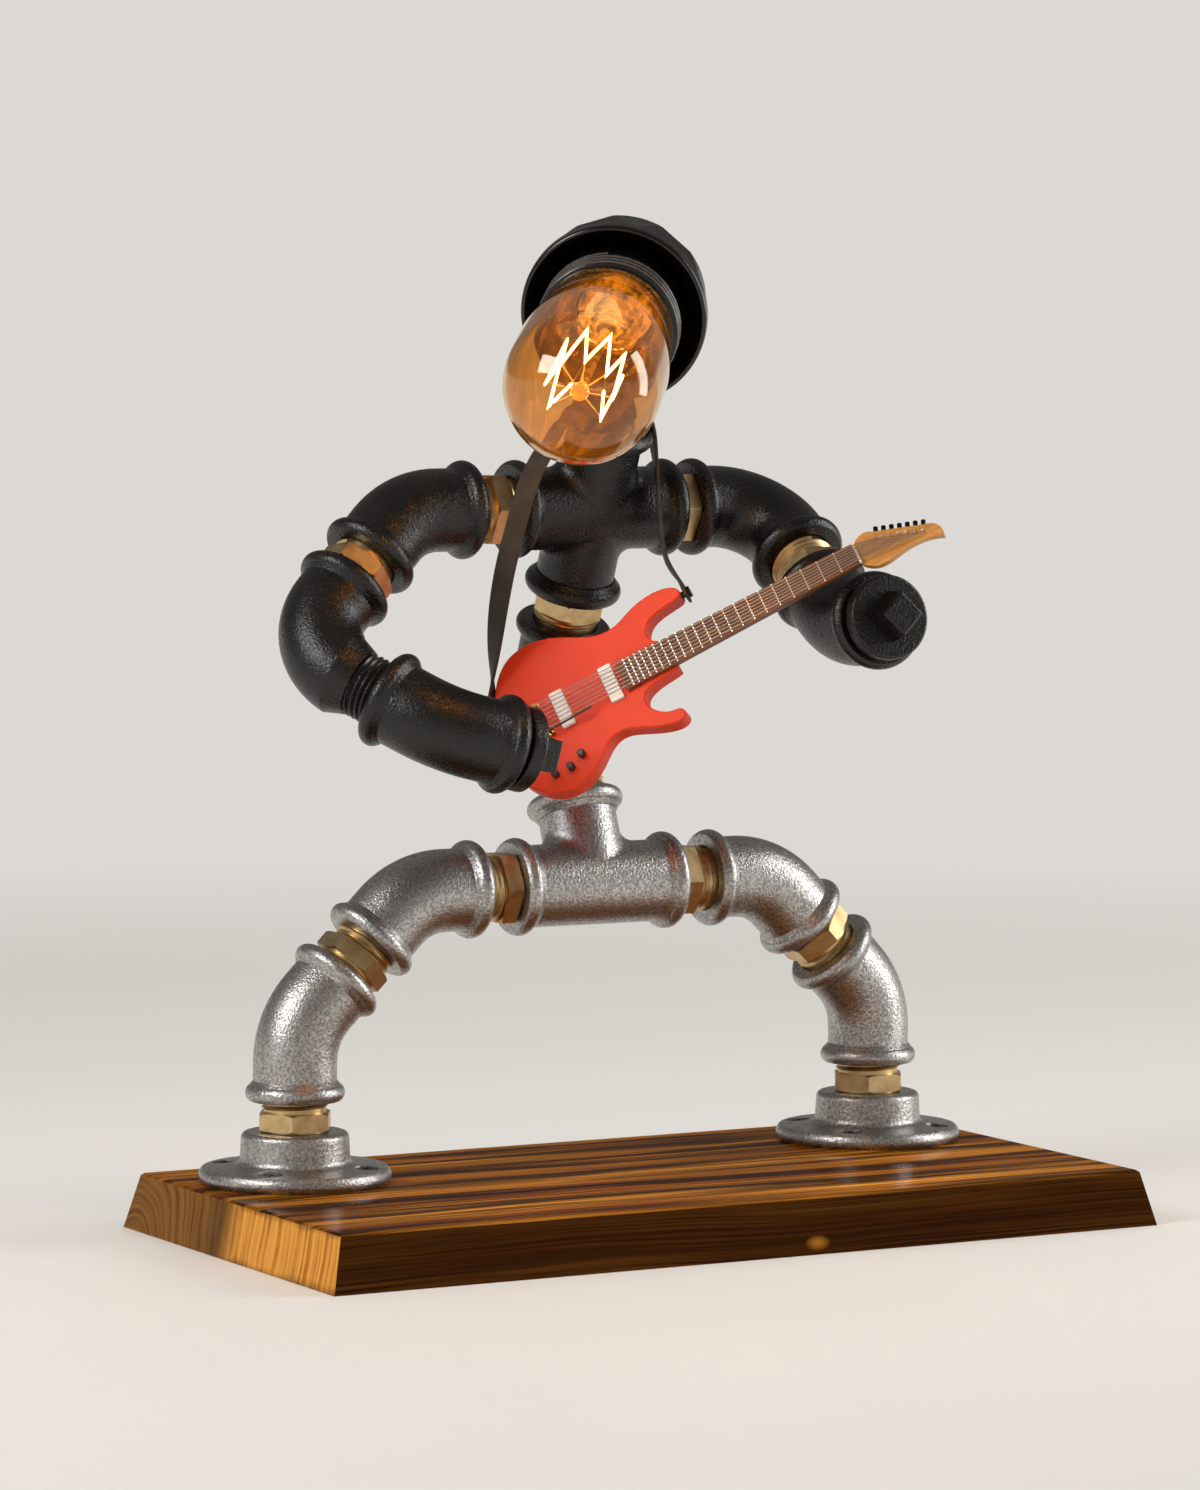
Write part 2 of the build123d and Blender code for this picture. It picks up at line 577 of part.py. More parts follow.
pieces["bulb_glass"] = head * (envelope(0) - envelope(BULB_WALL))
shell = Cylinder(CAP_R, CAP_LENGTH, align=LOW) - Cylinder(CAP_R - CAP_WALL, CAP_LENGTH, align=LOW)
pieces["bulb_screw_cap"] = head * (Pos(0, 0, cap_z) * shell)
pieces["bulb_insulator"] = head * spun([
    (0, insulator_z), (CONTACT_R + 0.6, insulator_z), (CAP_R - 0.2, cap_z - 0.6),
    (CAP_R - 0.2, cap_z), (0, cap_z),
])
contact = Cylinder(CONTACT_R, CONTACT_H, align=LOW)
contact = chamfer(contact.edges().sort_by(Axis.Z)[0], 0.8)
pieces["bulb_contact"] = head * (Pos(0, 0, tip_z) * contact)

ball_z = dome_z + 5.0
press_z = neck_z + 22.0
skirt_r = BULB_NECK_R - BULB_WALL - 0.1
stem = spun([
    (0, neck_z + 0.5), (skirt_r, neck_z + 0.5), (skirt_r - 0.8, neck_z + 2), (4.4, neck_z + 10),
    (3.6, press_z - 3), (STEM_ROD_R, press_z), (STEM_ROD_R, ball_z), (0, ball_z),
])
stem += Pos(0, 0, ball_z) * Sphere(STEM_BALL_R)
pieces["bulb_stem"] = head * stem

low_ring = ball_z + 0.6
high_ring = low_ring - FILAMENT_HEIGHT
zigzag = []
for k in range(2 * FILAMENT_PEAKS + 1):
    swing = radians(210 + 300 * k / (2 * FILAMENT_PEAKS))
    level = high_ring if k % 2 == 0 else low_ring
    zigzag.append((FILAMENT_SPREAD * cos(swing), FILAMENT_SPREAD * sin(swing), level))
start = Vector(*zigzag[0])
first = (Vector(*zigzag[1]) - start).normalized()
wire = Polyline(*zigzag)
filament = sweep(seat(start, first, X) * Circle(FILAMENT_R), path=wire, transition=Transition.RIGHT)
pieces["bulb_filament"] = head * filament

supports = []
for k in range(1, 2 * FILAMENT_PEAKS, 2):
    aim = Vector(*zigzag[k])
    root = Vector(0, 0, ball_z)
    ray = (aim - root).normalized()
    reach = (aim - root).length - FILAMENT_R - FILAMENT_SEAT - STEM_BALL_R
    supports.append(seat(root + ray * (STEM_BALL_R + 0.02), ray, Z) * Cylinder(0.18, reach, align=LOW))
for k in (0, 2 * FILAMENT_PEAKS):
    aim = Vector(*zigzag[k])
    root = Vector(aim.X * 0.25, aim.Y * 0.25, press_z - 5)
    ray = (aim - root).normalized()
    run = (aim - root).length
    out = 3.9
    supports.append(seat(root + ray * out, ray, X) * Cylinder(0.22, run - out - FILAMENT_SEAT, align=LOW))
pieces["bulb_support_wires"] = head * group(supports)

# Guitar, drawn on its own front face: X along the neck, Z out of the front

guitar = Plane(
    origin=chest_at + Vector(*GUITAR_AT), x_dir=square_to(Vector(*GUITAR_FRONT), Vector(*GUITAR_ALONG)),
    z_dir=Vector(*GUITAR_FRONT),
)
nut_x = SADDLE_X + SCALE_LENGTH
horn_pin = (47.7, 17.0)
end_pin = (-19.0, 12.6)
edge_line = Spline(
    (37.2, 5.4), (34.9, 6.0), (33.3, 7.6), (33.0, 9.6), (34.0, 11.6), (36.2, 13.3), (40.0, 14.4),
    (45.2, 15.0), (47.3, 15.7), (47.9, 17.1), (47.0, 18.9), (44.7, 20.3), (40.3, 21.0), (35.5, 20.6),
    (31.0, 19.3), (26.5, 17.5), (22.0, 16.7), (16.6, 17.9), (7.0, 22.9), (-2.1, 25.2), (-10.0, 23.6),
    (-16.0, 18.0), end_pin, (-22.6, 3.0), (-23.0, -6.0), (-21.0, -15.5), (-15.3, -22.6), (-7.8, -25.4),
    (0.5, -23.2), (5.6, -19.4), (9.4, -16.6), (13.0, -15.7), (17.5, -16.9), (22.5, -19.3), (27.5, -21.2),
    (31.2, -21.7), (33.4, -20.8), (33.9, -19.2), (32.8, -17.8), (30.4, -17.3), (27.4, -16.0), (25.0, -13.6),
    (24.0, -11.0), (24.6, -8.8), (27.0, -7.2), (31.5, -6.2), (37.6, -5.4),
)
heel = Line(edge_line @ 1, edge_line @ 0)
outline = make_face([edge_line, heel])
body = Pos(0, 0, -GUITAR_THICK) * extrude(outline, GUITAR_THICK)
rounded = [body.faces().sort_by(Axis.Z)[-1], body.faces().sort_by(Axis.Z)[0]]
body = chamfer(rounded[0].edges() + rounded[1].edges(), GUITAR_EDGE)


def neck_width(x):
    """Width of the tapering neck at x."""
    share = (x - BOARD_END_X) / (nut_x - BOARD_END_X)
    return NECK_W_BODY + (NECK_W_NUT - NECK_W_BODY) * share


def neck_plan(x0, x1, extra):
    """Tapered outline of the neck between two stations."""
    w0 = neck_width(x0) / 2 + extra
    w1 = neck_width(x1) / 2 + extra
    return make_face(Polyline((x0, -w0), (x1, -w1), (x1, w1), (x0, w0), close=True))


pocket = neck_plan(HEEL_X - POCKET_FIT, 40.0, POCKET_FIT)
body -= Pos(0, 0, -NECK_DEPTH) * extrude(pocket, NECK_DEPTH + 1)
end_axis = (-0.912, 0.410)
end_hole = seat(Vector(end_pin[0], end_pin[1], -GUITAR_THICK / 2), Vector(end_axis[0], end_axis[1], 0), Z)
horn_hole = seat(Vector(horn_pin[0], horn_pin[1], -GUITAR_THICK / 2), X, Z)
for hole in (end_hole, horn_hole):
    body -= hole * (Pos(0, 0, -PIN_DEPTH) * Cylinder(PIN_R + POCKET_FIT, PIN_DEPTH + 3, align=LOW))
pieces["guitar_body"] = guitar * body

neck = Pos(0, 0, -NECK_DEPTH) * extrude(neck_plan(HEEL_X, nut_x + 1.2, 0), NECK_DEPTH + NECK_TOP)
low_sides = [e for e in neck.faces().sort_by(Axis.Z)[0].edges() if e.length > 40]
neck = fillet(low_sides, NECK_ROUND)
brow = Spline((nut_x + 0.5, 3.5), (nut_x + 3.2, 5.4), (nut_x + 8.0, 4.4))
crest = Line(brow @ 1, (nut_x + 23.0, -1.3))
beak = Spline(crest @ 1, (nut_x + 26.6, -3.7), (nut_x + 26.7, -7.6))
chin = Spline(
    beak @ 1, (nut_x + 20.5, -5.6), (nut_x + 14.0, -5.6), (nut_x + 6.4, -6.6), (nut_x + 0.5, -3.5),
)
shut = Line(chin @ 1, brow @ 0)
paddle = extrude(make_face([brow, crest, beak, chin, shut]), HEADSTOCK_T)
neck += Pos(0, 0, -NECK_DEPTH) * paddle
pieces["guitar_neck"] = guitar * neck

fingerboard = extrude(neck_plan(BOARD_END_X, nut_x, 0), FRETBOARD_T)
pieces["guitar_fretboard"] = guitar * (Pos(0, 0, NECK_TOP) * fingerboard)
fret_z = NECK_TOP + FRETBOARD_T
bars = []
for k in range(1, FRET_COUNT + 1):
    x = nut_x - SCALE_LENGTH * (1 - 2 ** (-k / 12))
    bars.append(Pos(x, 0, fret_z) * Box(FRET_W, neck_width(x) - 0.2, FRET_H, align=LOW))
pieces["guitar_frets"] = guitar * group(bars)
string_z = fret_z + FRET_H + STRING_R + 0.25
nut_at = Pos(nut_x + 0.05 + NUT_W / 2, 0, NECK_TOP)
nut_bar = nut_at * Box(NUT_W, NECK_W_NUT, string_z - STRING_R - NECK_TOP, align=LOW)
pieces["guitar_nut"] = guitar * nut_bar

cover = Box(*PICKUP_SIZE, align=LOW)
cover = fillet(cover.edges().filter_by(Axis.Z) + cover.faces().sort_by(Axis.Z)[-1].edges(), 0.4)
pieces["guitar_pickups"] = guitar * group([Pos(x, 0, 0) * cover for x in (BRIDGE_PICKUP_X, NECK_PICKUP_X)])

bridge_gap = 1.5
nut_gap = 0.85
plate = Pos(SADDLE_X - 0.9, 0, 0) * Box(3.8, 11.0, BRIDGE_T, align=LOW)
middle = (STRING_COUNT - 1) / 2
for k in range(STRING_COUNT):
    y = (k - middle) * bridge_gap
    saddle = Box(2.8, bridge_gap - 0.5, string_z - STRING_R - BRIDGE_T, align=LOW)
    plate += Pos(SADDLE_X - 0.9, y, BRIDGE_T) * saddle
arm_at = (SADDLE_X + 1.0, -(middle + 0.75) * bridge_gap)
plate += Pos(arm_at[0], arm_at[1], 0) * Cylinder(0.9, 1.2, align=LOW)
pieces["guitar_bridge"] = guitar * plate
arm_path = FilletPolyline(
    (arm_at[0], arm_at[1], 1.2), (arm_at[0], arm_at[1], 3.2), (arm_at[0] + 15.0, arm_at[1] + 0.6, 3.2),
    radius=0.9,
)
arm = sweep(Plane((arm_at[0], arm_at[1], 1.2)) * Circle(TREMOLO_R), path=arm_path)
pieces["guitar_tremolo_arm"] = guitar * arm

knob = chamfer(Cylinder(KNOB_R, KNOB_H, align=LOW).edges().sort_by(Axis.Z)[-1], 0.4)
knob_at = ((-0.6, -16.6), (-5.2, -18.8), (-10.6, -18.6))
pieces["guitar_knobs"] = guitar * group([Pos(x, y, 0) * knob for x, y in knob_at])

post_z = HEADSTOCK_T - NECK_DEPTH
crest_from = brow @ 1
crest_along = (crest @ 1 - crest @ 0).normalized()
crest_out = Vector(-crest_along.Y, crest_along.X, 0)
crest_length = (crest @ 1 - crest @ 0).length
tuners = []
posts = []
for k in range(STRING_COUNT):
    edge_at = crest_from + crest_along * (crest_length * (k + 0.1) / (STRING_COUNT - 0.6))
    post_at = edge_at - crest_out * 2.2
    posts.append(post_at)
    tuners.append(Pos(post_at.X, post_at.Y, post_z) * Cylinder(TUNER_POST_R, TUNER_POST_H, align=LOW))
    shaft = seat(edge_at + crest_out * 0.03 + Z * (post_z - HEADSTOCK_T / 2), crest_out, Z)
    key = Pos(0, 0, 0.4) * fillet(Cylinder(TUNER_KEY_R, 1.5, align=LOW).edges(), 0.25)
    tuners.append(shaft * (Cylinder(0.4, 1.0, align=LOW) + key))
pieces["guitar_tuners"] = guitar * group(tuners)

strings = []
for k in range(STRING_COUNT):
    start = Vector(SADDLE_X - 1.0, (k - middle) * bridge_gap, string_z + 0.02)
    bend_at = Vector(nut_x + NUT_W + 0.4, (k - middle) * nut_gap, string_z + 0.02)
    along = bend_at - start
    strings.append(seat(start, along.normalized(), Z) * Cylinder(STRING_R, along.length, align=LOW))
    post_at = posts[STRING_COUNT - 1 - k]
    side = TUNER_POST_R + STRING_R + 0.05
    far = Vector(post_at.X, post_at.Y - side, post_z + TUNER_POST_H - 0.5)
    reach = far - bend_at
    heading = reach.normalized()
    tail = Cylinder(STRING_R, reach.length - 0.3, align=LOW)
    strings.append(seat(bend_at + heading * 0.3, heading, Z) * tail)
pieces["guitar_strings"] = guitar * group(strings)

# Strap: pins, then a flat leather band through named stations

def world(x, y, z):
    """Guitar coordinates to the shared frame."""
    return guitar.from_local_coords(Vector(x, y, z))


def pin(hole):
    """Strap button in its hole, head outside the strap."""
    stand = STRAP_T + 3 * STRAP_FIT + STRAP_CLEAR
    shank = Pos(0, 0, -PIN_DEPTH) * Cylinder(PIN_R, PIN_DEPTH + stand, align=LOW)
    return hole * (shank + Pos(0, 0, stand) * Cylinder(PIN_HEAD_R, PIN_HEAD_T, align=LOW))


pieces["strap_pins"] = guitar * group([pin(end_hole), pin(horn_hole)])

lift = STRAP_CLEAR + STRAP_FIT + STRAP_T / 2
mid = -GUITAR_THICK / 2
end_out = (guitar.x_dir * end_axis[0] + guitar.y_dir * end_axis[1]).normalized()
horn_out = guitar.x_dir
end_at = world(end_pin[0], end_pin[1], mid) + end_out * lift
horn_at = world(horn_pin[0], horn_pin[1], mid) + horn_out * lift
end_up = square_to(end_out, Z)
horn_up = square_to(horn_out, Vector(-0.08, 0.62, 0.78))
viewer = Vector(-0.484, -0.872, 0.07)
across = Vector(0.874, -0.486, 0.0)
loop_r = NECK_PIPE_R + STRAP_NECK_FIT + STRAP_T / 2
loop_at = chest_at + spine * (BEND_REACH_90 + STRAP_NECK_LIFT)
behind = square_to(spine, Y)


def round_neck(angle):
    """Station on the loop behind the neck, angle from straight back towards +X."""
    out = behind * cos(radians(angle)) + X * sin(radians(angle))
    return (loop_at + out * loop_r, out, X * cos(radians(angle)) - behind * sin(radians(angle)))


def hang(x, y, z, normal):
    """Free station of the strap: a point about the chest, one body radius out along the normal."""
    return (chest_at + Vector(x, y, z) + normal.normalized() * BODY_R, normal, None)


stations = [
    *[(end_at + end_up * step, end_out, end_up) for step in (-3.0, 0.0, 3.0, 5.0)],
    hang(-23.45, -2.74, -44.85, Vector(-0.98, -0.15, 0.0)),
    hang(-28.94, -2.01, -29.85, Vector(-0.70, -0.71, 0.0)),
    hang(-31.35, -4.44, -16.75, viewer),
    hang(-29.35, -6.44, -6.75, viewer),
    hang(-26.91, -6.88, 0.80, Vector(-0.47, -0.85, 0.22)),
    hang(-22.63, -7.30, 6.93, Vector(-0.46, -0.74, 0.48)),
    hang(-13.85, -9.88, 13.83, Vector(-0.60, -0.45, 0.66)),
    hang(-3.90, -11.45, 22.62, Vector(-0.86, -0.22, 0.46)),
    *[round_neck(angle) for angle in (-72, -48, -24, 0, 24, 48, 72)],
    hang(2.29, -12.00, 23.23, Vector(0.93, -0.10, 0.35)),
    hang(3.98, -9.37, 18.86, Vector(0.98, -0.18, 0.10)),
    hang(4.93, -8.22, 11.75, across),
    hang(3.93, -11.62, 2.55, across),
    hang(3.33, -13.82, -6.85, across),
    hang(2.53, -17.42, -15.85, across),
    *[(horn_at + horn_up * step, horn_out, horn_up * -1) for step in (5.0, 3.0, 0.0, -3.0)],
]
bands = []
for k, (spot, normal, along) in enumerate(stations):
    if along is None:
        along = stations[k + 1][0] - stations[k - 1][0]
    bands.append(seat(spot, along.normalized(), normal) * Rectangle(STRAP_T, STRAP_W))
strap = loft(bands)
for hole in (end_hole, horn_hole):
    strap -= guitar * (hole * Cylinder(PIN_R + STRAP_FIT, 6, align=LOW))
pieces["strap"] = strap

# Lead through the right leg, trunk and neck to the lampholder

right = feet["right"]
neck_swivel = chest_at + spine * (neck_top - LEAD_GAP / 2)
stops = [
    Vector(right.X, gland_at.Y - GLAND_LENGTH - collar_seat - 0.3, LEAD_HEIGHT),
    Vector(right.X, FIGURE_Y, LEAD_HEIGHT),
    right + Z * shin_z,
    right + Z * shin_z + turn(Z, X * -1, LEG_BEND, 0) * leg_step,
    tee_at,
    waist_at,
    neck_swivel,
]
route = FilletPolyline(*[tuple(s) for s in stops], radius=9.0)
pieces["lead_lower"] = sweep(seat(stops[0], Y * -1, X) * Circle(LEAD_R), path=route)
upper = [chest_at + spine * (neck_top + LEAD_GAP / 2), head_at, head_at + face_to * (well_z - 0.4)]
upper_route = FilletPolyline(*[tuple(s) for s in upper], radius=14.0)
pieces["lead_upper"] = sweep(seat(upper[0], spine, X) * Circle(LEAD_R), path=upper_route)

for name, piece in pieces.items():
    export_step(piece, os.path.join(OUT, name + ".step"))
print(len(pieces), "pieces written")
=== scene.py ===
"""Finishes, threads, glass, strap and stage of the pipe-fitting guitarist lamp, +Z up.

Blender's units are metres. Places and sizes in the tables below are in millimetres.
"""

import json
import math

import bmesh
import bpy
from mathutils import Matrix, Vector


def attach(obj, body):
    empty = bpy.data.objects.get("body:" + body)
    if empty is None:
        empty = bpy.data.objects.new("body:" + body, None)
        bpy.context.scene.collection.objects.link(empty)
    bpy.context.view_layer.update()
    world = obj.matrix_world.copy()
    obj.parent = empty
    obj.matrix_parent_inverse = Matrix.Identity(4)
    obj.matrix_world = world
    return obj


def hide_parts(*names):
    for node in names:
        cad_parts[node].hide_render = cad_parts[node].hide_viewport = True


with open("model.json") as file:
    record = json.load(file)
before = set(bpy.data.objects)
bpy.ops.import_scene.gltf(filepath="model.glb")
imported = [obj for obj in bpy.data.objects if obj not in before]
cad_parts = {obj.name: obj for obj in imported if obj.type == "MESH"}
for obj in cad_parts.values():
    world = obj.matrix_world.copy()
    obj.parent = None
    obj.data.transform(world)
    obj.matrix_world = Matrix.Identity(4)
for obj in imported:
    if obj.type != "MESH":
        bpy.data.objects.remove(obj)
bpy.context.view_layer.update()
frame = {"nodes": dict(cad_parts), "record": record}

bl_info = {
    "name": "Pipe Guitarist Lamp",
    "version": (1, 0, 0),
    "blender": (4, 5, 0),
    "location": "View3D > Sidebar > Lamp",
    "description": "Finishes, threads, strap, bulb and stage of a pipe-fitting guitarist lamp",
    "category": "Object",
}

MM = 0.001

# Nipples: first fitting's face, direction, gap between the two faces, start of the hexagon
NIPPLES = {
    "left_ankle_nipple": ((-104.58, 30.90, 32.70), (0, 0, 1), 9.5, 0.6),
    "left_knee_nipple": ((-88.88, 30.90, 80.10), (0.70711, 0, 0.70711), 12.0, 2.6),
    "left_hip_nipple": ((-42.50, 30.90, 104.28), (1, 0, 0), 12.0, 5.9),
    "right_ankle_nipple": ((100.98, 30.90, 32.70), (0, 0, 1), 9.5, 0.6),
    "right_knee_nipple": ((85.28, 30.90, 80.10), (-0.70711, 0, 0.70711), 12.0, 4.4),
    "right_hip_nipple": ((38.90, 30.90, 104.28), (-1, 0, 0), 12.0, 5.9),
    "waist_lower_nipple": ((-1.80, 41.85, 130.81), (0, 0.38139, 0.92441), 15.15, 8.0),
    "waist_upper_nipple": ((-1.80, 47.57, 185.84), (0, -0.38397, 0.92334), 10.3, 4.3),
    "strum_shoulder_nipple": ((-30.50, 32.59, 221.85), (-1, 0, 0), 13.5, 3.6),
    "strum_arm_nipple": ((-81.90, 28.34, 206.73), (-0.70711, -0.19134, -0.68073), 9.4, 2.8),
    "fret_shoulder_nipple": ((26.90, 32.59, 221.85), (1, 0, 0), 5.8, 0.2),
    "fret_arm_nipple": ((61.40, 9.14, 205.30), (0, -0.81714, -0.57643), 12.3, 6.7),
}
HEX_THICK = 5.4

# Black male threads: start on the axis, direction, length, body that carries them
BLACK_THREADS = {
    "strum_elbow_thread": ((-95.30, 5.84, 171.02), (0.59901, -0.67366, -0.43286), 8.5, "strum_arm"),
    "strum_plug_thread": ((-55.4, -15.53, 152.28), (0.96892, -0.03035, -0.24552), 1.6, "strum_arm"),
    "fret_plug_thread": ((60.03, -40.89, 189.15), (-0.06163, -0.98386, 0.16801), 1.6, "fret_arm"),
    "neck_elbow_thread": ((-14.89, -17.32, 293.91), (-0.57928, -0.75264, -0.31299), 2.4, "head"),
}

# Nodes by casting
ZINC_NODES = (
    "left_floor_flange", "left_shin_elbow", "left_thigh_elbow",
    "right_floor_flange", "right_shin_elbow", "right_thigh_elbow", "hip_tee",
)
BLACK_NODES = (
    "waist_elbow", "chest_cross", "neck_nipple", "neck_elbow",
    "strum_shoulder_elbow", "strum_street_elbow", "strum_forearm_elbow", "strum_hand_plug",
    "fret_shoulder_elbow", "fret_forearm_elbow", "fret_hand_plug",
)

# Planks: finish, heart of the tree behind the end grain, shift of the figure, scorch of the end
PLANKS = {
    "base_rear_plank": ("Lacquered scorched pine, rear plank", (0.0, 66.0, -10.0), 0.0, 0.74),
    "base_front_plank": ("Lacquered scorched pine, front plank", (0.0, 150.0, -20.0), 5.0, 0.1),
}
# Board: level of its middle, Y of the glue joint and place of the knot
BOARD_MIDDLE = 8.6
GLUE_JOINT = 8.0
KNOT_AT = (20.0, 0.0, 3.5)
# Patterns per metre along the plank, across and up: a knot 9 mm long and 5 mm high, lines that
# wander every 140 mm along and 45 mm across, and stains of the ends, 14 mm wide and 9 mm high
KNOT_PER_METRE = (220.0, 0.0, 420.0)
WANDER_PER_METRE = (7.0, 22.0, 22.0)
PATCHES_PER_METRE = (3.0, 70.0, 110.0)
# Length and width of the burnt bands, the thin lines and the flames
GRAIN = ((180.0, 9.0), (120.0, 1.7), (260.0, 22.0))

# Threads: turns left bare, least turns, steps, least length, and the ridge by pitch and height
THREAD_BARE = 0.75
THREAD_LEAST = 0.35
THREAD_STEPS = 40
THREAD_LEAST_STEPS = 12
THREAD_SHOWS = 1.2
RIDGE_HALF = 0.46
RIDGE_CREST = (0.86, 1.14)
RIDGE_EASE = 0.1
ROUND_RIDGE_STEPS = 8
# Steps of a full turn
LATHE_STEPS = 96

# Head: centre of its elbow, bulb axis and the spine that sets its roll
HEAD_AT = (-1.80, -0.31, 300.98)
FACE_TO = (-0.57928, -0.75264, -0.31299)
SPINE = (0.0, -0.38397, 0.92334)
# Places along the bulb axis, from the head's centre
GLASS_NECK = 55.6
HAT_MOUTH = 56.0
COLLAR = (64.9, 77.0)
HOLDER_RINGS = (65.4, 76.4)
GLASS_WIDE = 108.0
FILAMENT_MIDDLE = 117.0
GLASS_DOME = 125.8
# Collar's radii and chamfer, and the run over which the hat's cast skin ends at its faced mouth
COLLAR_INNER = 18.9
COLLAR_OUTER = 20.05
COLLAR_CHAMFER = 0.4
FACED_FROM = -0.3
FACED_TO = 0.8
# Bulb's flare: handles of its curve below the tube and above the neck, and the neck's straight part
SHOULDER_IN = 2.3
SHOULDER_LONG = 28.0
THROAT_OUT = 2.8
THROAT_UP = 6.4
NECK_TOP = 3.4
FLARE_STEPS = 24
DOME_STEP = 5
# Light of the filament: watts and radius
FILAMENT_WATTS = 0.4
FILAMENT_SOFT = 12.0

# Guitar: origin on the front face, and the directions along the neck and across it
GUITAR_AT = (-22.0, 11.5, 160.9)
GUITAR_ALONG = (0.72848, -0.49854, 0.46987)
GUITAR_UP = (-0.11356, 0.58850, 0.80048)
# Fibres of its wood per metre along the neck and across: 14 mm long and 1.1 mm wide, drawn coarser
# than real ones so that they show
FIBRES_PER_METRE = (70.0, 900.0, 0.0)

# Strap: middle of the band and the way its outer face looks, from the end pin to the horn pin
STRAP = (
    ((-35.72, 31.41, 157.63), (-0.7110, 0.6960, -0.1003)),
    ((-35.94, 31.62, 160.61), (-0.7110, 0.6960, -0.1003)),
    ((-36.15, 31.83, 163.60), (-0.7110, 0.6960, -0.1003)),
    ((-36.30, 31.98, 165.59), (-0.7110, 0.6960, -0.1003)),
    ((-38.00, 27.90, 177.00), (-0.9823, -0.0875, -0.1653)),
    ((-39.80, 21.40, 192.00), (-0.7189, -0.6378, -0.2766)),
    ((-39.40, 16.90, 206.00), (-0.5242, -0.8337, -0.1734)),
    ((-37.40, 14.90, 216.00), (-0.4968, -0.8677, 0.0193)),
    ((-34.80, 14.70, 225.50), (-0.4756, -0.8540, 0.2112)),
    ((-30.40, 15.70, 235.00), (-0.5146, -0.7570, 0.4027)),
    ((-23.40, 16.90, 244.20), (-0.6276, -0.4559, 0.6312)),
    ((-16.80, 18.30, 250.40), (-0.6821, -0.1134, 0.7224)),
    ((-12.64, 22.52, 255.24), (-0.9511, 0.2853, 0.1187)),
    ((-10.27, 26.31, 256.82), (-0.7431, 0.6178, 0.2569)),
    ((-6.44, 28.88, 257.89), (-0.4067, 0.8435, 0.3508)),
    ((-1.80, 29.79, 258.26), (0.0000, 0.9233, 0.3840)),
    ((2.84, 28.88, 257.89), (0.4067, 0.8435, 0.3508)),
    ((6.67, 26.31, 256.82), (0.7431, 0.6178, 0.2569)),
    ((9.04, 22.52, 255.24), (0.9511, 0.2853, 0.1187)),
    ((12.50, 19.30, 249.60), (0.9088, -0.0935, 0.4067)),
    ((14.80, 20.90, 242.00), (0.9756, -0.1776, 0.1292)),
    ((14.40, 18.10, 233.60), (0.8852, -0.4564, 0.0904)),
    ((13.40, 14.70, 224.40), (0.8816, -0.4676, 0.0649)),
    ((12.80, 12.50, 215.00), (0.8829, -0.4628, 0.0787)),
    ((12.00, 8.90, 206.00), (0.9044, -0.3193, 0.2832)),
    ((13.84, 2.33, 200.20), (0.7285, -0.4985, 0.4699)),
    ((14.00, 1.09, 198.64), (0.7285, -0.4985, 0.4699)),
    ((14.24, -0.77, 196.30), (0.7285, -0.4985, 0.4699)),
    ((14.48, -2.63, 193.96), (0.7285, -0.4985, 0.4699)),
)
STRAP_BEVEL = 0.3

# Camera of the photograph
CAMERA_AT = (-885.5, -1565.3, 280.7)
CAMERA_RIGHT = (0.87420, -0.48555, 0.00377)
CAMERA_UP = (0.03200, 0.06535, 0.99735)
CAMERA_LENS = 141.2
SENSOR_WIDTH = 36.0
CLIP_END = 100.0
LOOK_AT = (0.0, 0.0, 150.0)

# Soft boxes: metres to the right, to the camera and up; size in metres, watts, seen in metal
SOFTBOXES = {
    "left_softbox": ((-1.05, 0.75, 0.75), (0.55, 0.55), 11.0, True),
    "right_softbox": ((1.15, -0.12, 0.34), (0.4, 0.9), 8.0, True),
    "top_softbox": ((0.0, 0.1, 1.3), (1.1, 1.1), 7.5, False),
    "back_softbox": ((0.3, -0.9, 1.25), (0.7, 0.7), 4.0, False),
}
# Floor and backdrop, in metres and in shares of the floor's brightness
FLOOR_RADIUS = 12.0
FLOOR_FADE = (0.35, 1.3)
HORIZON = (0.055, 0.14)
BACKDROP_TOP = 0.26
FILL_LIGHT = 0.42


def linear(code):
    """Linear red, green and blue of an sRGB hex colour."""
    parts = [int(code[k:k + 2], 16) / 255 for k in (1, 3, 5)]
    return tuple(p / 12.92 if p <= 0.04045 else ((p + 0.055) / 1.055) ** 2.4 for p in parts)


def tint(name, description, code):
    """Colour property with a hex default."""
    return bpy.props.FloatVectorProperty(
        name=name, description=description, default=linear(code),
        subtype="COLOR", size=3, min=0.0, max=1.0)


def length(name, description, size):
    """Length property with a default in millimetres."""
    return bpy.props.FloatProperty(
        name=name, description=description, default=size * MM,
        subtype="DISTANCE", unit="LENGTH", min=0.0, precision=5)


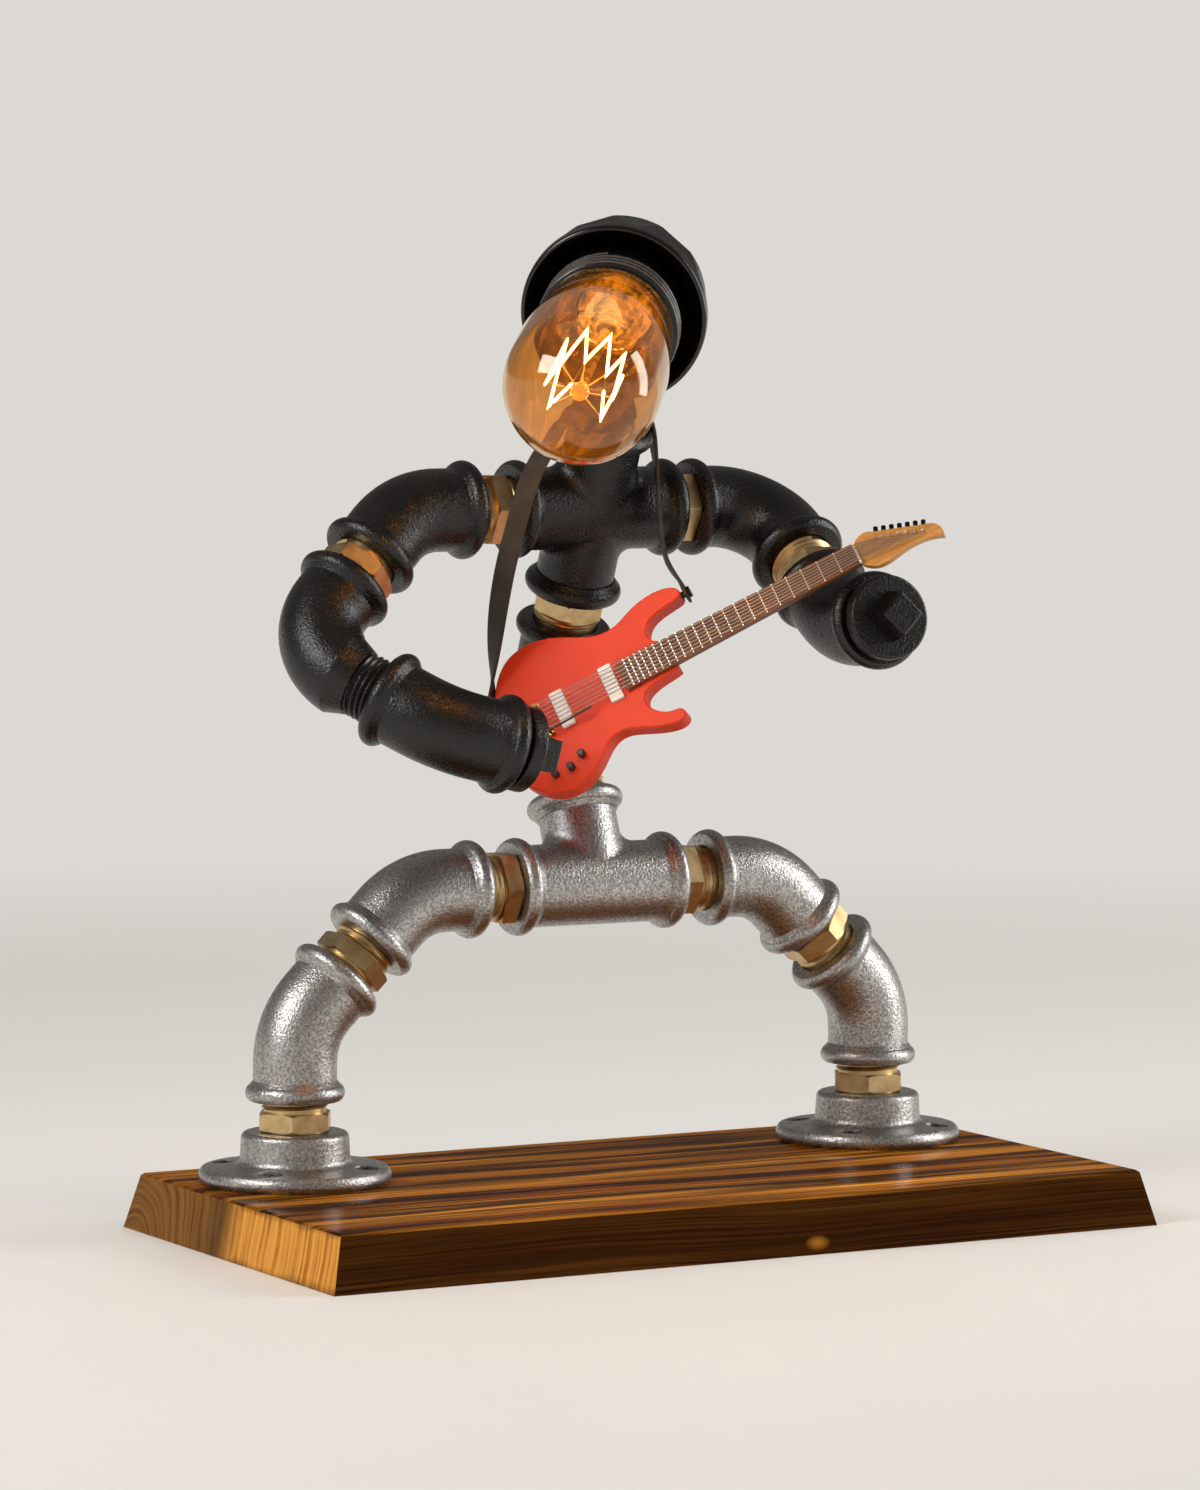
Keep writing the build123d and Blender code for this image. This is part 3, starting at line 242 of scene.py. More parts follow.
class LampColours(bpy.types.PropertyGroup):
    """Colours of the lamp's finishes."""

    zinc: tint("Zinc", "Bright grains of the galvanised legs, tee and flanges", "#CFCCC9")
    zinc_dull: tint("Dull zinc", "Hollows between the grains of the galvanising", "#8E8B89")
    iron: tint("Black iron", "Oiled black castings", "#080706")
    iron_warm: tint("Worn iron", "Brown bloom on the castings", "#17110E")
    brass: tint("Brass", "Machined hexagon nipples", "#D4B888")
    brass_deep: tint("Deep brass", "Handled and oxidised brass", "#A38458")
    wood_char: tint("Scorched pine", "Burnt grain of the board", "#1E0D05")
    wood_brown: tint("Brown pine", "Grain beside the burnt bands", "#4C2608")
    wood_warm: tint("Warm pine", "Thin lines of late wood", "#A65A14")
    wood_amber: tint("Amber pine", "Unburnt streaks and knots", "#DE9632")
    wood_end: tint("Pale end grain", "Early wood on the sawn ends", "#EAA444")
    lacquer: tint("Guitar red", "Orange-red lacquer of the guitar body", "#DC401E")
    lacquer_deep: tint("Deep guitar red", "Thicker lacquer in the guitar's hollows", "#C93318")
    maple: tint("Maple", "Neck and headstock", "#CF9A55")
    fingerboard: tint("Fingerboard", "Oiled brown fingerboard", "#94644A")
    leather: tint("Leather", "Strap", "#2A2420")
    glass: tint("Amber glass", "Tint of the bulb", "#E8C084")
    glow: tint("Filament glow", "Light of the filament", "#FFAE3A")
    white_heat: tint("White heat", "Colour of the hottest wire", "#FFDCA6")
    floor: tint("Floor", "Pale studio floor", "#DCD9D4")


class LampSizes(bpy.types.PropertyGroup):
    """Sizes of the details that the finishes add."""

    thread_pitch: length("Thread pitch", "Advance of a half-inch pipe thread in one turn", 1.814)
    thread_root: length("Thread root", "Radius inside the nipple where a thread starts", 9.45)
    thread_crest: length("Thread crest", "Radius of the thread's top", 10.35)
    holder_pitch: length("Holder thread pitch", "Step between the rings on the lampholder", 2.6)
    holder_root: length("Holder thread root", "Radius between the rings on the lampholder", 19.9)
    holder_crest: length("Holder thread crest", "Radius of the rings on the lampholder", 21.3)
    strap_width: length("Strap width", "Width of the leather band", 6.4)
    strap_thick: length("Strap thickness", "Thickness of the leather band", 1.1)
    glass_radius: length("Bulb radius", "Outer radius of the bulb's tube", 22.9)
    glass_neck: length("Bulb neck radius", "Outer radius of the glass in the cap", 12.4)
    glass_wall: length("Glass wall", "Thickness of the bulb's glass", 0.9)
    sand: length("Casting grain", "Size of the sand grain on the castings", 1.0)
    year_ring: length("Year ring", "Width of one year of the pine", 2.6)


def feed(tree, made, inputs):
    """Sets or links the sockets of a node."""
    for socket, value in inputs.items():
        if isinstance(value, bpy.types.NodeSocket):
            tree.links.new(value, made.inputs[socket])
        else:
            made.inputs[socket].default_value = value


def add(tree, kind, inputs=None, **settings):
    """Adds a node with its settings and links."""
    made = tree.nodes.new(kind)
    for key, value in settings.items():
        setattr(made, key, value)
    feed(tree, made, inputs or {})
    return made


def begin(name):
    """New material: its tree, its shader and the piece's own coordinates."""
    made = bpy.data.materials.new(name)
    made.use_nodes = True
    tree = made.node_tree
    place = add(tree, "ShaderNodeTexCoord").outputs["Object"]
    return made, tree, tree.nodes["Principled BSDF"], place


def solid(colour):
    """Colour with full alpha."""
    return (colour[0], colour[1], colour[2], 1.0)


def sand_cast(tree, place, sizes, lump_size):
    """Grain of a sand casting, and its height together with larger lumps."""
    # Drawn coarser than the mould's sand, so that it shows at the picture's size
    grain = add(tree, "ShaderNodeTexNoise", {
        "Vector": place, "Scale": 1 / (0.8 * sizes.sand), "Detail": 2.0, "Roughness": 0.6,
    })
    lump = add(tree, "ShaderNodeTexNoise", {
        "Vector": place, "Scale": 1 / (lump_size * sizes.sand), "Detail": 1.0,
    })
    height = add(tree, "ShaderNodeMath", {
        0: lump.outputs[0], 1: 0.3, 2: grain.outputs[0],
    }, operation="MULTIPLY_ADD")
    return grain.outputs[0], height.outputs[0]


def galvanised_iron(colours, sizes):
    """Hot-dip zinc over sand-cast iron: grey and pebbled, with grains that glint one by one."""
    made, tree, shader, place = begin("Galvanised malleable iron")
    grain, height = sand_cast(tree, place, sizes, 3.4)
    pale = add(tree, "ShaderNodeMapRange", {"Value": grain, "From Min": 0.36, "From Max": 0.66})
    skin = add(tree, "ShaderNodeMix", {
        0: pale.outputs[0], 6: solid(colours.zinc_dull), 7: solid(colours.zinc),
    }, data_type="RGBA")
    sheen = add(tree, "ShaderNodeMapRange", {
        "Value": grain, "From Min": 0.35, "From Max": 0.7, "To Min": 0.44, "To Max": 0.28,
    })
    bump = add(tree, "ShaderNodeBump", {
        "Height": height, "Strength": 0.7, "Distance": 0.3 * sizes.sand,
    })
    feed(tree, shader, {
        "Base Color": skin.outputs[2], "Metallic": 1.0, "Roughness": sheen.outputs[0],
        "Normal": bump.outputs[0],
    })
    return made


def black_iron(colours, sizes, name, faced):
    """Oiled black sand casting: near black and satin, its pebbled skin catching light in grains. A
    faced mouth is turned smooth and shines."""
    made, tree, shader, place = begin(name)
    grain, height = sand_cast(tree, place, sizes, 4.0)
    bloom = add(tree, "ShaderNodeTexNoise", {
        "Vector": place, "Scale": 1 / (14 * sizes.sand), "Detail": 3.0,
    })
    worn = add(tree, "ShaderNodeMapRange", {
        "Value": bloom.outputs[0], "From Min": 0.45, "From Max": 0.75, "To Max": 0.7,
    })
    skin = add(tree, "ShaderNodeMix", {
        0: worn.outputs[0], 6: solid(colours.iron), 7: solid(colours.iron_warm),
    }, data_type="RGBA")
    gloss = add(tree, "ShaderNodeMapRange", {
        "Value": grain, "From Min": 0.3, "From Max": 0.7, "To Min": 0.36, "To Max": 0.22,
    })
    if faced:
        offset = add(tree, "ShaderNodeVectorMath", {
            0: place, 1: tuple(c * MM for c in HEAD_AT),
        }, operation="SUBTRACT")
        out = add(tree, "ShaderNodeVectorMath", {
            0: offset.outputs[0], 1: FACE_TO,
        }, operation="DOT_PRODUCT")
        cast = add(tree, "ShaderNodeMapRange", {
            "Value": out.outputs["Value"], "From Min": (HAT_MOUTH + FACED_FROM) * MM,
            "From Max": (HAT_MOUTH + FACED_TO) * MM, "To Min": 1.0, "To Max": 0.0,
        })
        height = add(tree, "ShaderNodeMath", {
            0: height, 1: cast.outputs[0],
        }, operation="MULTIPLY").outputs[0]
        gloss = add(tree, "ShaderNodeMix", {
            0: cast.outputs[0], 2: 0.2, 3: gloss.outputs[0],
        }, data_type="FLOAT")
    bump = add(tree, "ShaderNodeBump", {
        "Height": height, "Strength": 0.8, "Distance": 0.3 * sizes.sand,
    })
    feed(tree, shader, {
        "Base Color": skin.outputs[2], "Roughness": gloss.outputs[0], "Specular IOR Level": 0.5,
        "Normal": bump.outputs[0],
    })
    return made


def turned_black_iron(colours, sizes):
    """Cut and blackened iron of the male threads: the castings' black with tool marks."""
    made, tree, shader, place = begin("Turned black iron")
    # Tool marks drawn half a millimetre wide, coarser than real ones, so that they show
    marks = add(tree, "ShaderNodeTexNoise", {
        "Vector": place, "Scale": 2 / sizes.sand, "Detail": 2.0,
    })
    skin = add(tree, "ShaderNodeMix", {
        0: marks.outputs[0], 6: solid(colours.iron), 7: solid(colours.iron_warm),
    }, data_type="RGBA")
    sheen = add(tree, "ShaderNodeMapRange", {
        "Value": marks.outputs[0], "To Min": 0.24, "To Max": 0.4,
    })
    bump = add(tree, "ShaderNodeBump", {
        "Height": marks.outputs[0], "Strength": 0.2, "Distance": 0.15 * sizes.sand,
    })
    feed(tree, shader, {
        "Base Color": skin.outputs[2], "Roughness": sheen.outputs[0], "Normal": bump.outputs[0],
        "Specular IOR Level": 0.6,
    })
    return made


def machined_brass(colours, sizes):
    """Turned brass bar: warm yellow metal with faint tool marks and browner, handled patches."""
    made, tree, shader, place = begin("Machined brass")
    patch = add(tree, "ShaderNodeTexNoise", {
        "Vector": place, "Scale": 1 / (5 * sizes.sand), "Detail": 3.0,
    })
    # Tool marks drawn half a millimetre wide, coarser than real ones, so that they show
    marks = add(tree, "ShaderNodeTexNoise", {
        "Vector": place, "Scale": 2 / sizes.sand, "Detail": 2.0,
    })
    aged = add(tree, "ShaderNodeMapRange", {
        "Value": patch.outputs[0], "From Min": 0.4, "From Max": 0.75, "To Max": 0.85,
    })
    skin = add(tree, "ShaderNodeMix", {
        0: aged.outputs[0], 6: solid(colours.brass), 7: solid(colours.brass_deep),
    }, data_type="RGBA")
    sheen = add(tree, "ShaderNodeMapRange", {
        "Value": marks.outputs[0], "To Min": 0.28, "To Max": 0.42,
    })
    bump = add(tree, "ShaderNodeBump", {
        "Height": marks.outputs[0], "Strength": 0.04, "Distance": 0.1 * sizes.sand,
    })
    feed(tree, shader, {
        "Base Color": skin.outputs[2], "Metallic": 1.0, "Roughness": sheen.outputs[0],
        "Normal": bump.outputs[0],
    })
    return made


def grain_bands(tree, part, wander, sizes, shift):
    """Burnt bands, thin lines and flames, drawn out along the plank."""
    # Lines follow Y over the top and Z down the long edges, and wander by a few millimetres
    slant = add(tree, "ShaderNodeMath", {
        0: part.outputs[2], 1: 1.6, 2: part.outputs[1],
    }, operation="MULTIPLY_ADD")
    across = add(tree, "ShaderNodeMath", {
        0: wander, 1: 5.6 * sizes.year_ring, 2: slant.outputs[0],
    }, operation="MULTIPLY_ADD")
    sheet = add(tree, "ShaderNodeCombineXYZ", {0: part.outputs[0], 1: across.outputs[0], 2: shift})
    bands = []
    for run, width in GRAIN:
        stretched = add(tree, "ShaderNodeVectorMath", {
            0: sheet.outputs[0], 1: (1 / (run * MM), 1 / (width * MM), 1.0),
        }, operation="MULTIPLY")
        band = add(tree, "ShaderNodeTexNoise", {
            "Vector": stretched.outputs[0], "Scale": 1.0, "Detail": 3.0, "Roughness": 0.55,
        })
        bands.append(band.outputs[0])
    return bands


def plank_faces(tree, colours, place, bands, upward):
    """Colour along the grain: amber and brown lines, burnt bands, dark long edges and a knot."""
    burnt, thin, flame = bands
    line = add(tree, "ShaderNodeMapRange", {"Value": thin, "From Min": 0.34, "From Max": 0.68})
    warm = add(tree, "ShaderNodeMix", {
        0: line.outputs[0], 6: solid(colours.wood_brown), 7: solid(colours.wood_warm),
    }, data_type="RGBA")
    lit = add(tree, "ShaderNodeMapRange", {
        "Value": flame, "From Min": 0.4, "From Max": 0.6, "To Max": 0.9,
    })
    flamed = add(tree, "ShaderNodeMath", {
        0: lit.outputs[0], 1: line.outputs[0],
    }, operation="MULTIPLY")
    bright = add(tree, "ShaderNodeMix", {
        0: flamed.outputs[0], 6: warm.outputs[2], 7: solid(colours.wood_amber),
    }, data_type="RGBA")
    char = add(tree, "ShaderNodeMapRange", {
        "Value": burnt, "From Min": 0.42, "From Max": 0.58, "To Max": 0.9,
    })
    # Faces that turn from upward, the long sides, are drawn darker, towards the burnt colour
    upright = add(tree, "ShaderNodeMapRange", {
        "Value": upward, "From Min": 0.9, "From Max": 0.6, "To Max": 0.86,
    })
    dark = add(tree, "ShaderNodeMath", {
        0: char.outputs[0], 1: upright.outputs[0],
    }, operation="MAXIMUM")
    planed = add(tree, "ShaderNodeMix", {
        0: dark.outputs[0], 6: bright.outputs[2], 7: solid(colours.wood_char),
    }, data_type="RGBA")
    # Small pale knot low on the long edge
    from_knot = add(tree, "ShaderNodeVectorMath", {
        0: place, 1: tuple(c * MM for c in KNOT_AT),
    }, operation="SUBTRACT")
    oval = add(tree, "ShaderNodeVectorMath", {
        0: from_knot.outputs[0], 1: KNOT_PER_METRE,
    }, operation="MULTIPLY")
    knot_r = add(tree, "ShaderNodeVectorMath", {0: oval.outputs[0]}, operation="LENGTH")
    knot = add(tree, "ShaderNodeMapRange", {
        "Value": knot_r.outputs["Value"], "From Min": 0.25, "From Max": 1.0, "To Min": 0.45,
        "To Max": 0.0,
    })
    faces = add(tree, "ShaderNodeMix", {
        0: knot.outputs[0], 6: planed.outputs[2], 7: solid(colours.wood_amber),
    }, data_type="RGBA")
    return faces.outputs[2]


def plank_ends(tree, colours, sizes, place, part, wander, pith, burn):
    """Colour across the grain: curved year rings, charred at the rim and beside the glue joint."""
    from_pith = add(tree, "ShaderNodeVectorMath", {
        0: place, 1: tuple(c * MM for c in pith),
    }, operation="SUBTRACT")
    flat = add(tree, "ShaderNodeVectorMath", {
        0: from_pith.outputs[0], 1: (0.0, 1.0, 1.0),
    }, operation="MULTIPLY")
    reach = add(tree, "ShaderNodeVectorMath", {0: flat.outputs[0]}, operation="LENGTH")
    ring_at = add(tree, "ShaderNodeMath", {
        0: wander, 1: 4.6 * sizes.year_ring, 2: reach.outputs["Value"],
    }, operation="MULTIPLY_ADD")
    years = add(tree, "ShaderNodeMath", {
        0: ring_at.outputs[0], 1: sizes.year_ring,
    }, operation="DIVIDE")
    rings = add(tree, "ShaderNodeTexNoise", {
        "W": years.outputs[0], "Scale": 1.0, "Detail": 2.5, "Roughness": 0.6,
    }, noise_dimensions="1D")
    late = add(tree, "ShaderNodeMapRange", {
        "Value": rings.outputs[0], "From Min": 0.38, "From Max": 0.66,
    }, interpolation_type="SMOOTHSTEP")
    patch_at = add(tree, "ShaderNodeVectorMath", {
        0: place, 1: PATCHES_PER_METRE,
    }, operation="MULTIPLY")
    patch = add(tree, "ShaderNodeTexNoise", {
        "Vector": patch_at.outputs[0], "Scale": 1.0, "Detail": 3.0,
    })
    depth = add(tree, "ShaderNodeMapRange", {
        "Value": patch.outputs[0], "From Min": 0.35, "From Max": 0.65, "To Min": 0.45,
        "To Max": 1.0,
    })
    lined = add(tree, "ShaderNodeMath", {
        0: late.outputs[0], 1: depth.outputs[0],
    }, operation="MULTIPLY")
    sawn = add(tree, "ShaderNodeMix", {
        0: lined.outputs[0], 6: solid(colours.wood_end), 7: solid(colours.wood_warm),
    }, data_type="RGBA")
    level = add(tree, "ShaderNodeMath", {
        0: part.outputs[2], 1: BOARD_MIDDLE * MM,
    }, operation="SUBTRACT")
    rise = add(tree, "ShaderNodeMath", {0: level.outputs[0]}, operation="ABSOLUTE")
    rim = add(tree, "ShaderNodeMath", {
        0: patch.outputs[0], 1: 6.0 * MM, 2: rise.outputs[0],
    }, operation="MULTIPLY_ADD")
    edge = add(tree, "ShaderNodeMapRange", {
        "Value": rim.outputs[0], "From Min": 8.8 * MM, "From Max": 12.5 * MM, "To Max": 0.9,
    })
    joint = add(tree, "ShaderNodeMath", {
        0: part.outputs[1], 1: GLUE_JOINT * MM,
    }, operation="SUBTRACT")
    aside = add(tree, "ShaderNodeMath", {0: joint.outputs[0]}, operation="ABSOLUTE")
    glued = add(tree, "ShaderNodeMapRange", {
        "Value": aside.outputs[0], "From Min": 0.3 * MM, "From Max": 14.0 * MM, "To Min": 0.85,
        "To Max": burn,
    })
    charred = add(tree, "ShaderNodeMath", {
        0: edge.outputs[0], 1: glued.outputs[0],
    }, operation="MAXIMUM")
    ends = add(tree, "ShaderNodeMix", {
        0: charred.outputs[0], 6: sawn.outputs[2], 7: solid(colours.wood_char),
    }, data_type="RGBA")
    return ends.outputs[2]


def scorched_pine(colours, sizes, name, pith, shift, burn):
    """Scorched, brushed and lacquered pine: burnt bands with thin amber lines along the plank, and
    paler curved year rings on its sawn ends."""
    made, tree, shader, place = begin(name)
    part = add(tree, "ShaderNodeSeparateXYZ", {"Vector": place})
    slow = add(tree, "ShaderNodeVectorMath", {0: place, 1: WANDER_PER_METRE}, operation="MULTIPLY")
    wander = add(tree, "ShaderNodeTexNoise", {
        "Vector": slow.outputs[0], "Scale": 1.0, "Detail": 2.0,
    }).outputs[0]
    facing = add(tree, "ShaderNodeTexCoord")
    side = add(tree, "ShaderNodeSeparateXYZ", {"Vector": facing.outputs["Normal"]})
    bands = grain_bands(tree, part, wander, sizes, shift)
    faces = plank_faces(tree, colours, place, bands, side.outputs[2])
    ends = plank_ends(tree, colours, sizes, place, part, wander, pith, burn)
    along = add(tree, "ShaderNodeMath", {0: side.outputs[0]}, operation="ABSOLUTE")
    sawn = add(tree, "ShaderNodeMapRange", {
        "Value": along.outputs[0], "From Min": 0.78, "From Max": 0.86,
    })
    colour = add(tree, "ShaderNodeMix", {0: sawn.outputs[0], 6: faces, 7: ends}, data_type="RGBA")
    thin = bands[1]
    sheen = add(tree, "ShaderNodeMapRange", {"Value": thin, "To Min": 0.24, "To Max": 0.42})
    bump = add(tree, "ShaderNodeBump", {"Height": thin, "Strength": 0.3, "Distance": 0.2 * MM})
    feed(tree, shader, {
        "Base Color": colour.outputs[2], "Roughness": sheen.outputs[0], "Normal": bump.outputs[0],
        "Specular IOR Level": 0.0, "Coat Weight": 0.2, "Coat Roughness": 0.06,
    })
    return made


def guitar_lacquer(colours, sizes):
    """Sprayed satin lacquer on a small wooden body: orange-red, a little deeper in patches."""
    made, tree, shader, place = begin("Orange-red satin lacquer")
    cloud = add(tree, "ShaderNodeTexNoise", {
        "Vector": place, "Scale": 1 / (12 * sizes.sand), "Detail": 3.0,
    })
    peel = add(tree, "ShaderNodeTexNoise", {
        "Vector": place, "Scale": 1 / sizes.sand, "Detail": 2.0,
    })
    deep = add(tree, "ShaderNodeMapRange", {
        "Value": cloud.outputs[0], "From Min": 0.45, "From Max": 0.8, "To Max": 0.6,
    })
    skin = add(tree, "ShaderNodeMix", {
        0: deep.outputs[0], 6: solid(colours.lacquer), 7: solid(colours.lacquer_deep),
    }, data_type="RGBA")
    sheen = add(tree, "ShaderNodeMapRange", {
        "Value": peel.outputs[0], "To Min": 0.4, "To Max": 0.54,
    })
    bump = add(tree, "ShaderNodeBump", {
        "Height": peel.outputs[0], "Strength": 0.12, "Distance": 0.12 * sizes.sand,
    })
    feed(tree, shader, {
        "Base Color": skin.outputs[2], "Roughness": sheen.outputs[0], "Normal": bump.outputs[0],
        "Specular IOR Level": 0.25,
    })
    return made


def guitar_wood(name, pale, dark, roughness, painted_neck_shade=None):
    """Small-scale lacquered wood with fibres along the neck. A painted shade, given as a darker
    colour, darkens it below the nut.
    """
    made, tree, shader, place = begin(name)
    along = add(tree, "ShaderNodeVectorMath", {0: place, 1: GUITAR_ALONG}, operation="DOT_PRODUCT")
    up = add(tree, "ShaderNodeVectorMath", {0: place, 1: GUITAR_UP}, operation="DOT_PRODUCT")
    sheet = add(tree, "ShaderNodeCombineXYZ", {0: along.outputs["Value"], 1: up.outputs["Value"]})
    stretched = add(tree, "ShaderNodeVectorMath", {
        0: sheet.outputs[0], 1: FIBRES_PER_METRE,
    }, operation="MULTIPLY")
    fibre = add(tree, "ShaderNodeTexNoise", {
        "Vector": stretched.outputs[0], "Scale": 1.0, "Detail": 3.0,
    })
    line = add(tree, "ShaderNodeMapRange", {
        "Value": fibre.outputs[0], "From Min": 0.35, "From Max": 0.7,
    })
    skin = add(tree, "ShaderNodeMix", {
        0: line.outputs[0], 6: solid(pale), 7: solid(dark),
    }, data_type="RGBA")
    # Painted shade: the neck below the nut is drawn darker, as if it lay in shadow
    if painted_neck_shade:
        corners = frame["nodes"]["guitar_nut"].bound_box
        nut = sum(Vector(c).dot(Vector(GUITAR_ALONG)) for c in corners) / len(corners)
        past_nut = add(tree, "ShaderNodeMapRange", {
            "Value": along.outputs["Value"], "From Min": nut - 0.4 * MM, "From Max": nut + 0.4 * MM,
        })
        skin = add(tree, "ShaderNodeMix", {
            0: past_nut.outputs[0], 6: solid(painted_neck_shade), 7: skin.outputs[2],
        }, data_type="RGBA")
    sheen = add(tree, "ShaderNodeMapRange", {
        "Value": fibre.outputs[0], "To Min": roughness - 0.08, "To Max": roughness + 0.08,
    })
    feed(tree, shader, {
        "Base Color": skin.outputs[2], "Roughness": sheen.outputs[0], "Specular IOR Level": 0.35,
    })
    return made


def plated_metal(name, code, dull_code, smooth, rough):
    """Plated or stamped metal: bright, with faint uneven polish."""
    made, tree, shader, place = begin(name)
    polish = add(tree, "ShaderNodeTexNoise", {
        "Vector": place, "Scale": 1 / (1.4 * MM), "Detail": 2.0,
    })
    skin = add(tree, "ShaderNodeMix", {
        0: polish.outputs[0], 6: solid(linear(code)), 7: solid(linear(dull_code)),
    }, data_type="RGBA")
    sheen = add(tree, "ShaderNodeMapRange", {
        "Value": polish.outputs[0], "To Min": smooth, "To Max": rough,
    })
    feed(tree, shader, {
        "Base Color": skin.outputs[2], "Metallic": 1.0, "Roughness": sheen.outputs[0],
    })
    return made


def tuner_chrome():
    """Plated tuners: bright string posts on the head's front, black keys along its edge."""
    made, tree, shader, place = begin("Bright and black chrome")
    polish = add(tree, "ShaderNodeTexNoise", {
        "Vector": place, "Scale": 1 / (1.4 * MM), "Detail": 2.0,
    })
    offset = add(tree, "ShaderNodeVectorMath", {
        0: place, 1: tuple(c * MM for c in GUITAR_AT),
    }, operation="SUBTRACT")
    front = Vector(GUITAR_ALONG).cross(Vector(GUITAR_UP))
    out = add(tree, "ShaderNodeVectorMath", {
        0: offset.outputs[0], 1: front,
    }, operation="DOT_PRODUCT")
    post = add(tree, "ShaderNodeMapRange", {
        "Value": out.outputs["Value"], "From Min": 0.1 * MM, "From Max": 0.3 * MM,
    })
    skin = add(tree, "ShaderNodeMix", {
        0: post.outputs[0], 6: solid(linear("#2B2927")), 7: solid(linear("#E2DFD8")),
    }, data_type="RGBA")
    sheen = add(tree, "ShaderNodeMapRange", {
        "Value": polish.outputs[0], "To Min": 0.18, "To Max": 0.32,
    })
    feed(tree, shader, {
        "Base Color": skin.outputs[2], "Metallic": 1.0, "Roughness": sheen.outputs[0],
    })
    return made


def moulded_plastic(name, code, worn_code, smooth, rough):
    """Moulded plastic or rubber: even colour with a slightly uneven skin."""
    made, tree, shader, place = begin(name)
    uneven = add(tree, "ShaderNodeTexNoise", {
        "Vector": place, "Scale": 1 / (1.8 * MM), "Detail": 2.0,
    })
    skin = add(tree, "ShaderNodeMix", {
        0: uneven.outputs[0], 6: solid(linear(code)), 7: solid(linear(worn_code)),
    }, data_type="RGBA")
    sheen = add(tree, "ShaderNodeMapRange", {
        "Value": uneven.outputs[0], "To Min": smooth, "To Max": rough,
    })
    bump = add(tree, "ShaderNodeBump", {
        "Height": uneven.outputs[0], "Strength": 0.06, "Distance": 0.1 * MM,
    })
    feed(tree, shader, {
        "Base Color": skin.outputs[2], "Roughness": sheen.outputs[0], "Normal": bump.outputs[0],
    })
    return made


def threaded_phenolic(sizes):
    """Black moulded lampholder: glossy, with painted highlights on the crests of its outer thread,
    drawn paler so that its rings show.
    """
    made, tree, shader, place = begin("Black phenolic")
    offset = add(tree, "ShaderNodeVectorMath", {
        0: place, 1: tuple(c * MM for c in HEAD_AT),
    }, operation="SUBTRACT")
    aside = add(tree, "ShaderNodeVectorMath", {
        0: offset.outputs[0], 1: FACE_TO,
    }, operation="CROSS_PRODUCT")
    radius = add(tree, "ShaderNodeVectorMath", {0: aside.outputs[0]}, operation="LENGTH")
    uneven = add(tree, "ShaderNodeTexNoise", {
        "Vector": place, "Scale": 1 / (1.8 * MM), "Detail": 2.0,
    })
    crest = sizes.holder_crest
    # Painted highlight: the thread's crests are drawn paler, as if they caught the light
    painted_crest_highlight = add(tree, "ShaderNodeMapRange", {
        "Value": radius.outputs["Value"], "From Min": crest - 0.5 * MM,
        "From Max": crest - 0.05 * MM,
    })
    skin = add(tree, "ShaderNodeMix", {
        0: painted_crest_highlight.outputs[0], 6: solid(linear("#0D0B0A")), 7: solid(linear("#564D46")),
    }, data_type="RGBA")
    sheen = add(tree, "ShaderNodeMapRange", {
        "Value": uneven.outputs[0], "To Min": 0.2, "To Max": 0.32,
    })
    feed(tree, shader, {"Base Color": skin.outputs[2], "Roughness": sheen.outputs[0]})
    return made


def strap_leather(colours):
    """Vegetable-tanned leather, dyed dark: pebbled grain and rubbed, paler high spots."""
    made, tree, shader, place = begin("Dark dyed leather")
    pebble = add(tree, "ShaderNodeTexVoronoi", {
        "Vector": place, "Scale": 1 / (0.9 * MM),
    }, feature="F1")
    rub = add(tree, "ShaderNodeTexNoise", {"Vector": place, "Scale": 1 / (7 * MM), "Detail": 3.0})
    high = add(tree, "ShaderNodeMapRange", {
        "Value": rub.outputs[0], "From Min": 0.45, "From Max": 0.8, "To Max": 0.5,
    })
    skin = add(tree, "ShaderNodeMix", {
        0: high.outputs[0], 6: solid(colours.leather), 7: solid(linear("#463C36")),
    }, data_type="RGBA")
    bump = add(tree, "ShaderNodeBump", {
        "Height": pebble.outputs["Distance"], "Strength": 0.35, "Distance": 0.2 * MM,
    })
    sheen = add(tree, "ShaderNodeMapRange", {
        "Value": rub.outputs[0], "To Min": 0.45, "To Max": 0.68,
    })
    feed(tree, shader, {
        "Base Color": skin.outputs[2], "Roughness": sheen.outputs[0], "Normal": bump.outputs[0],
        "Specular IOR Level": 0.35,
    })
    return made


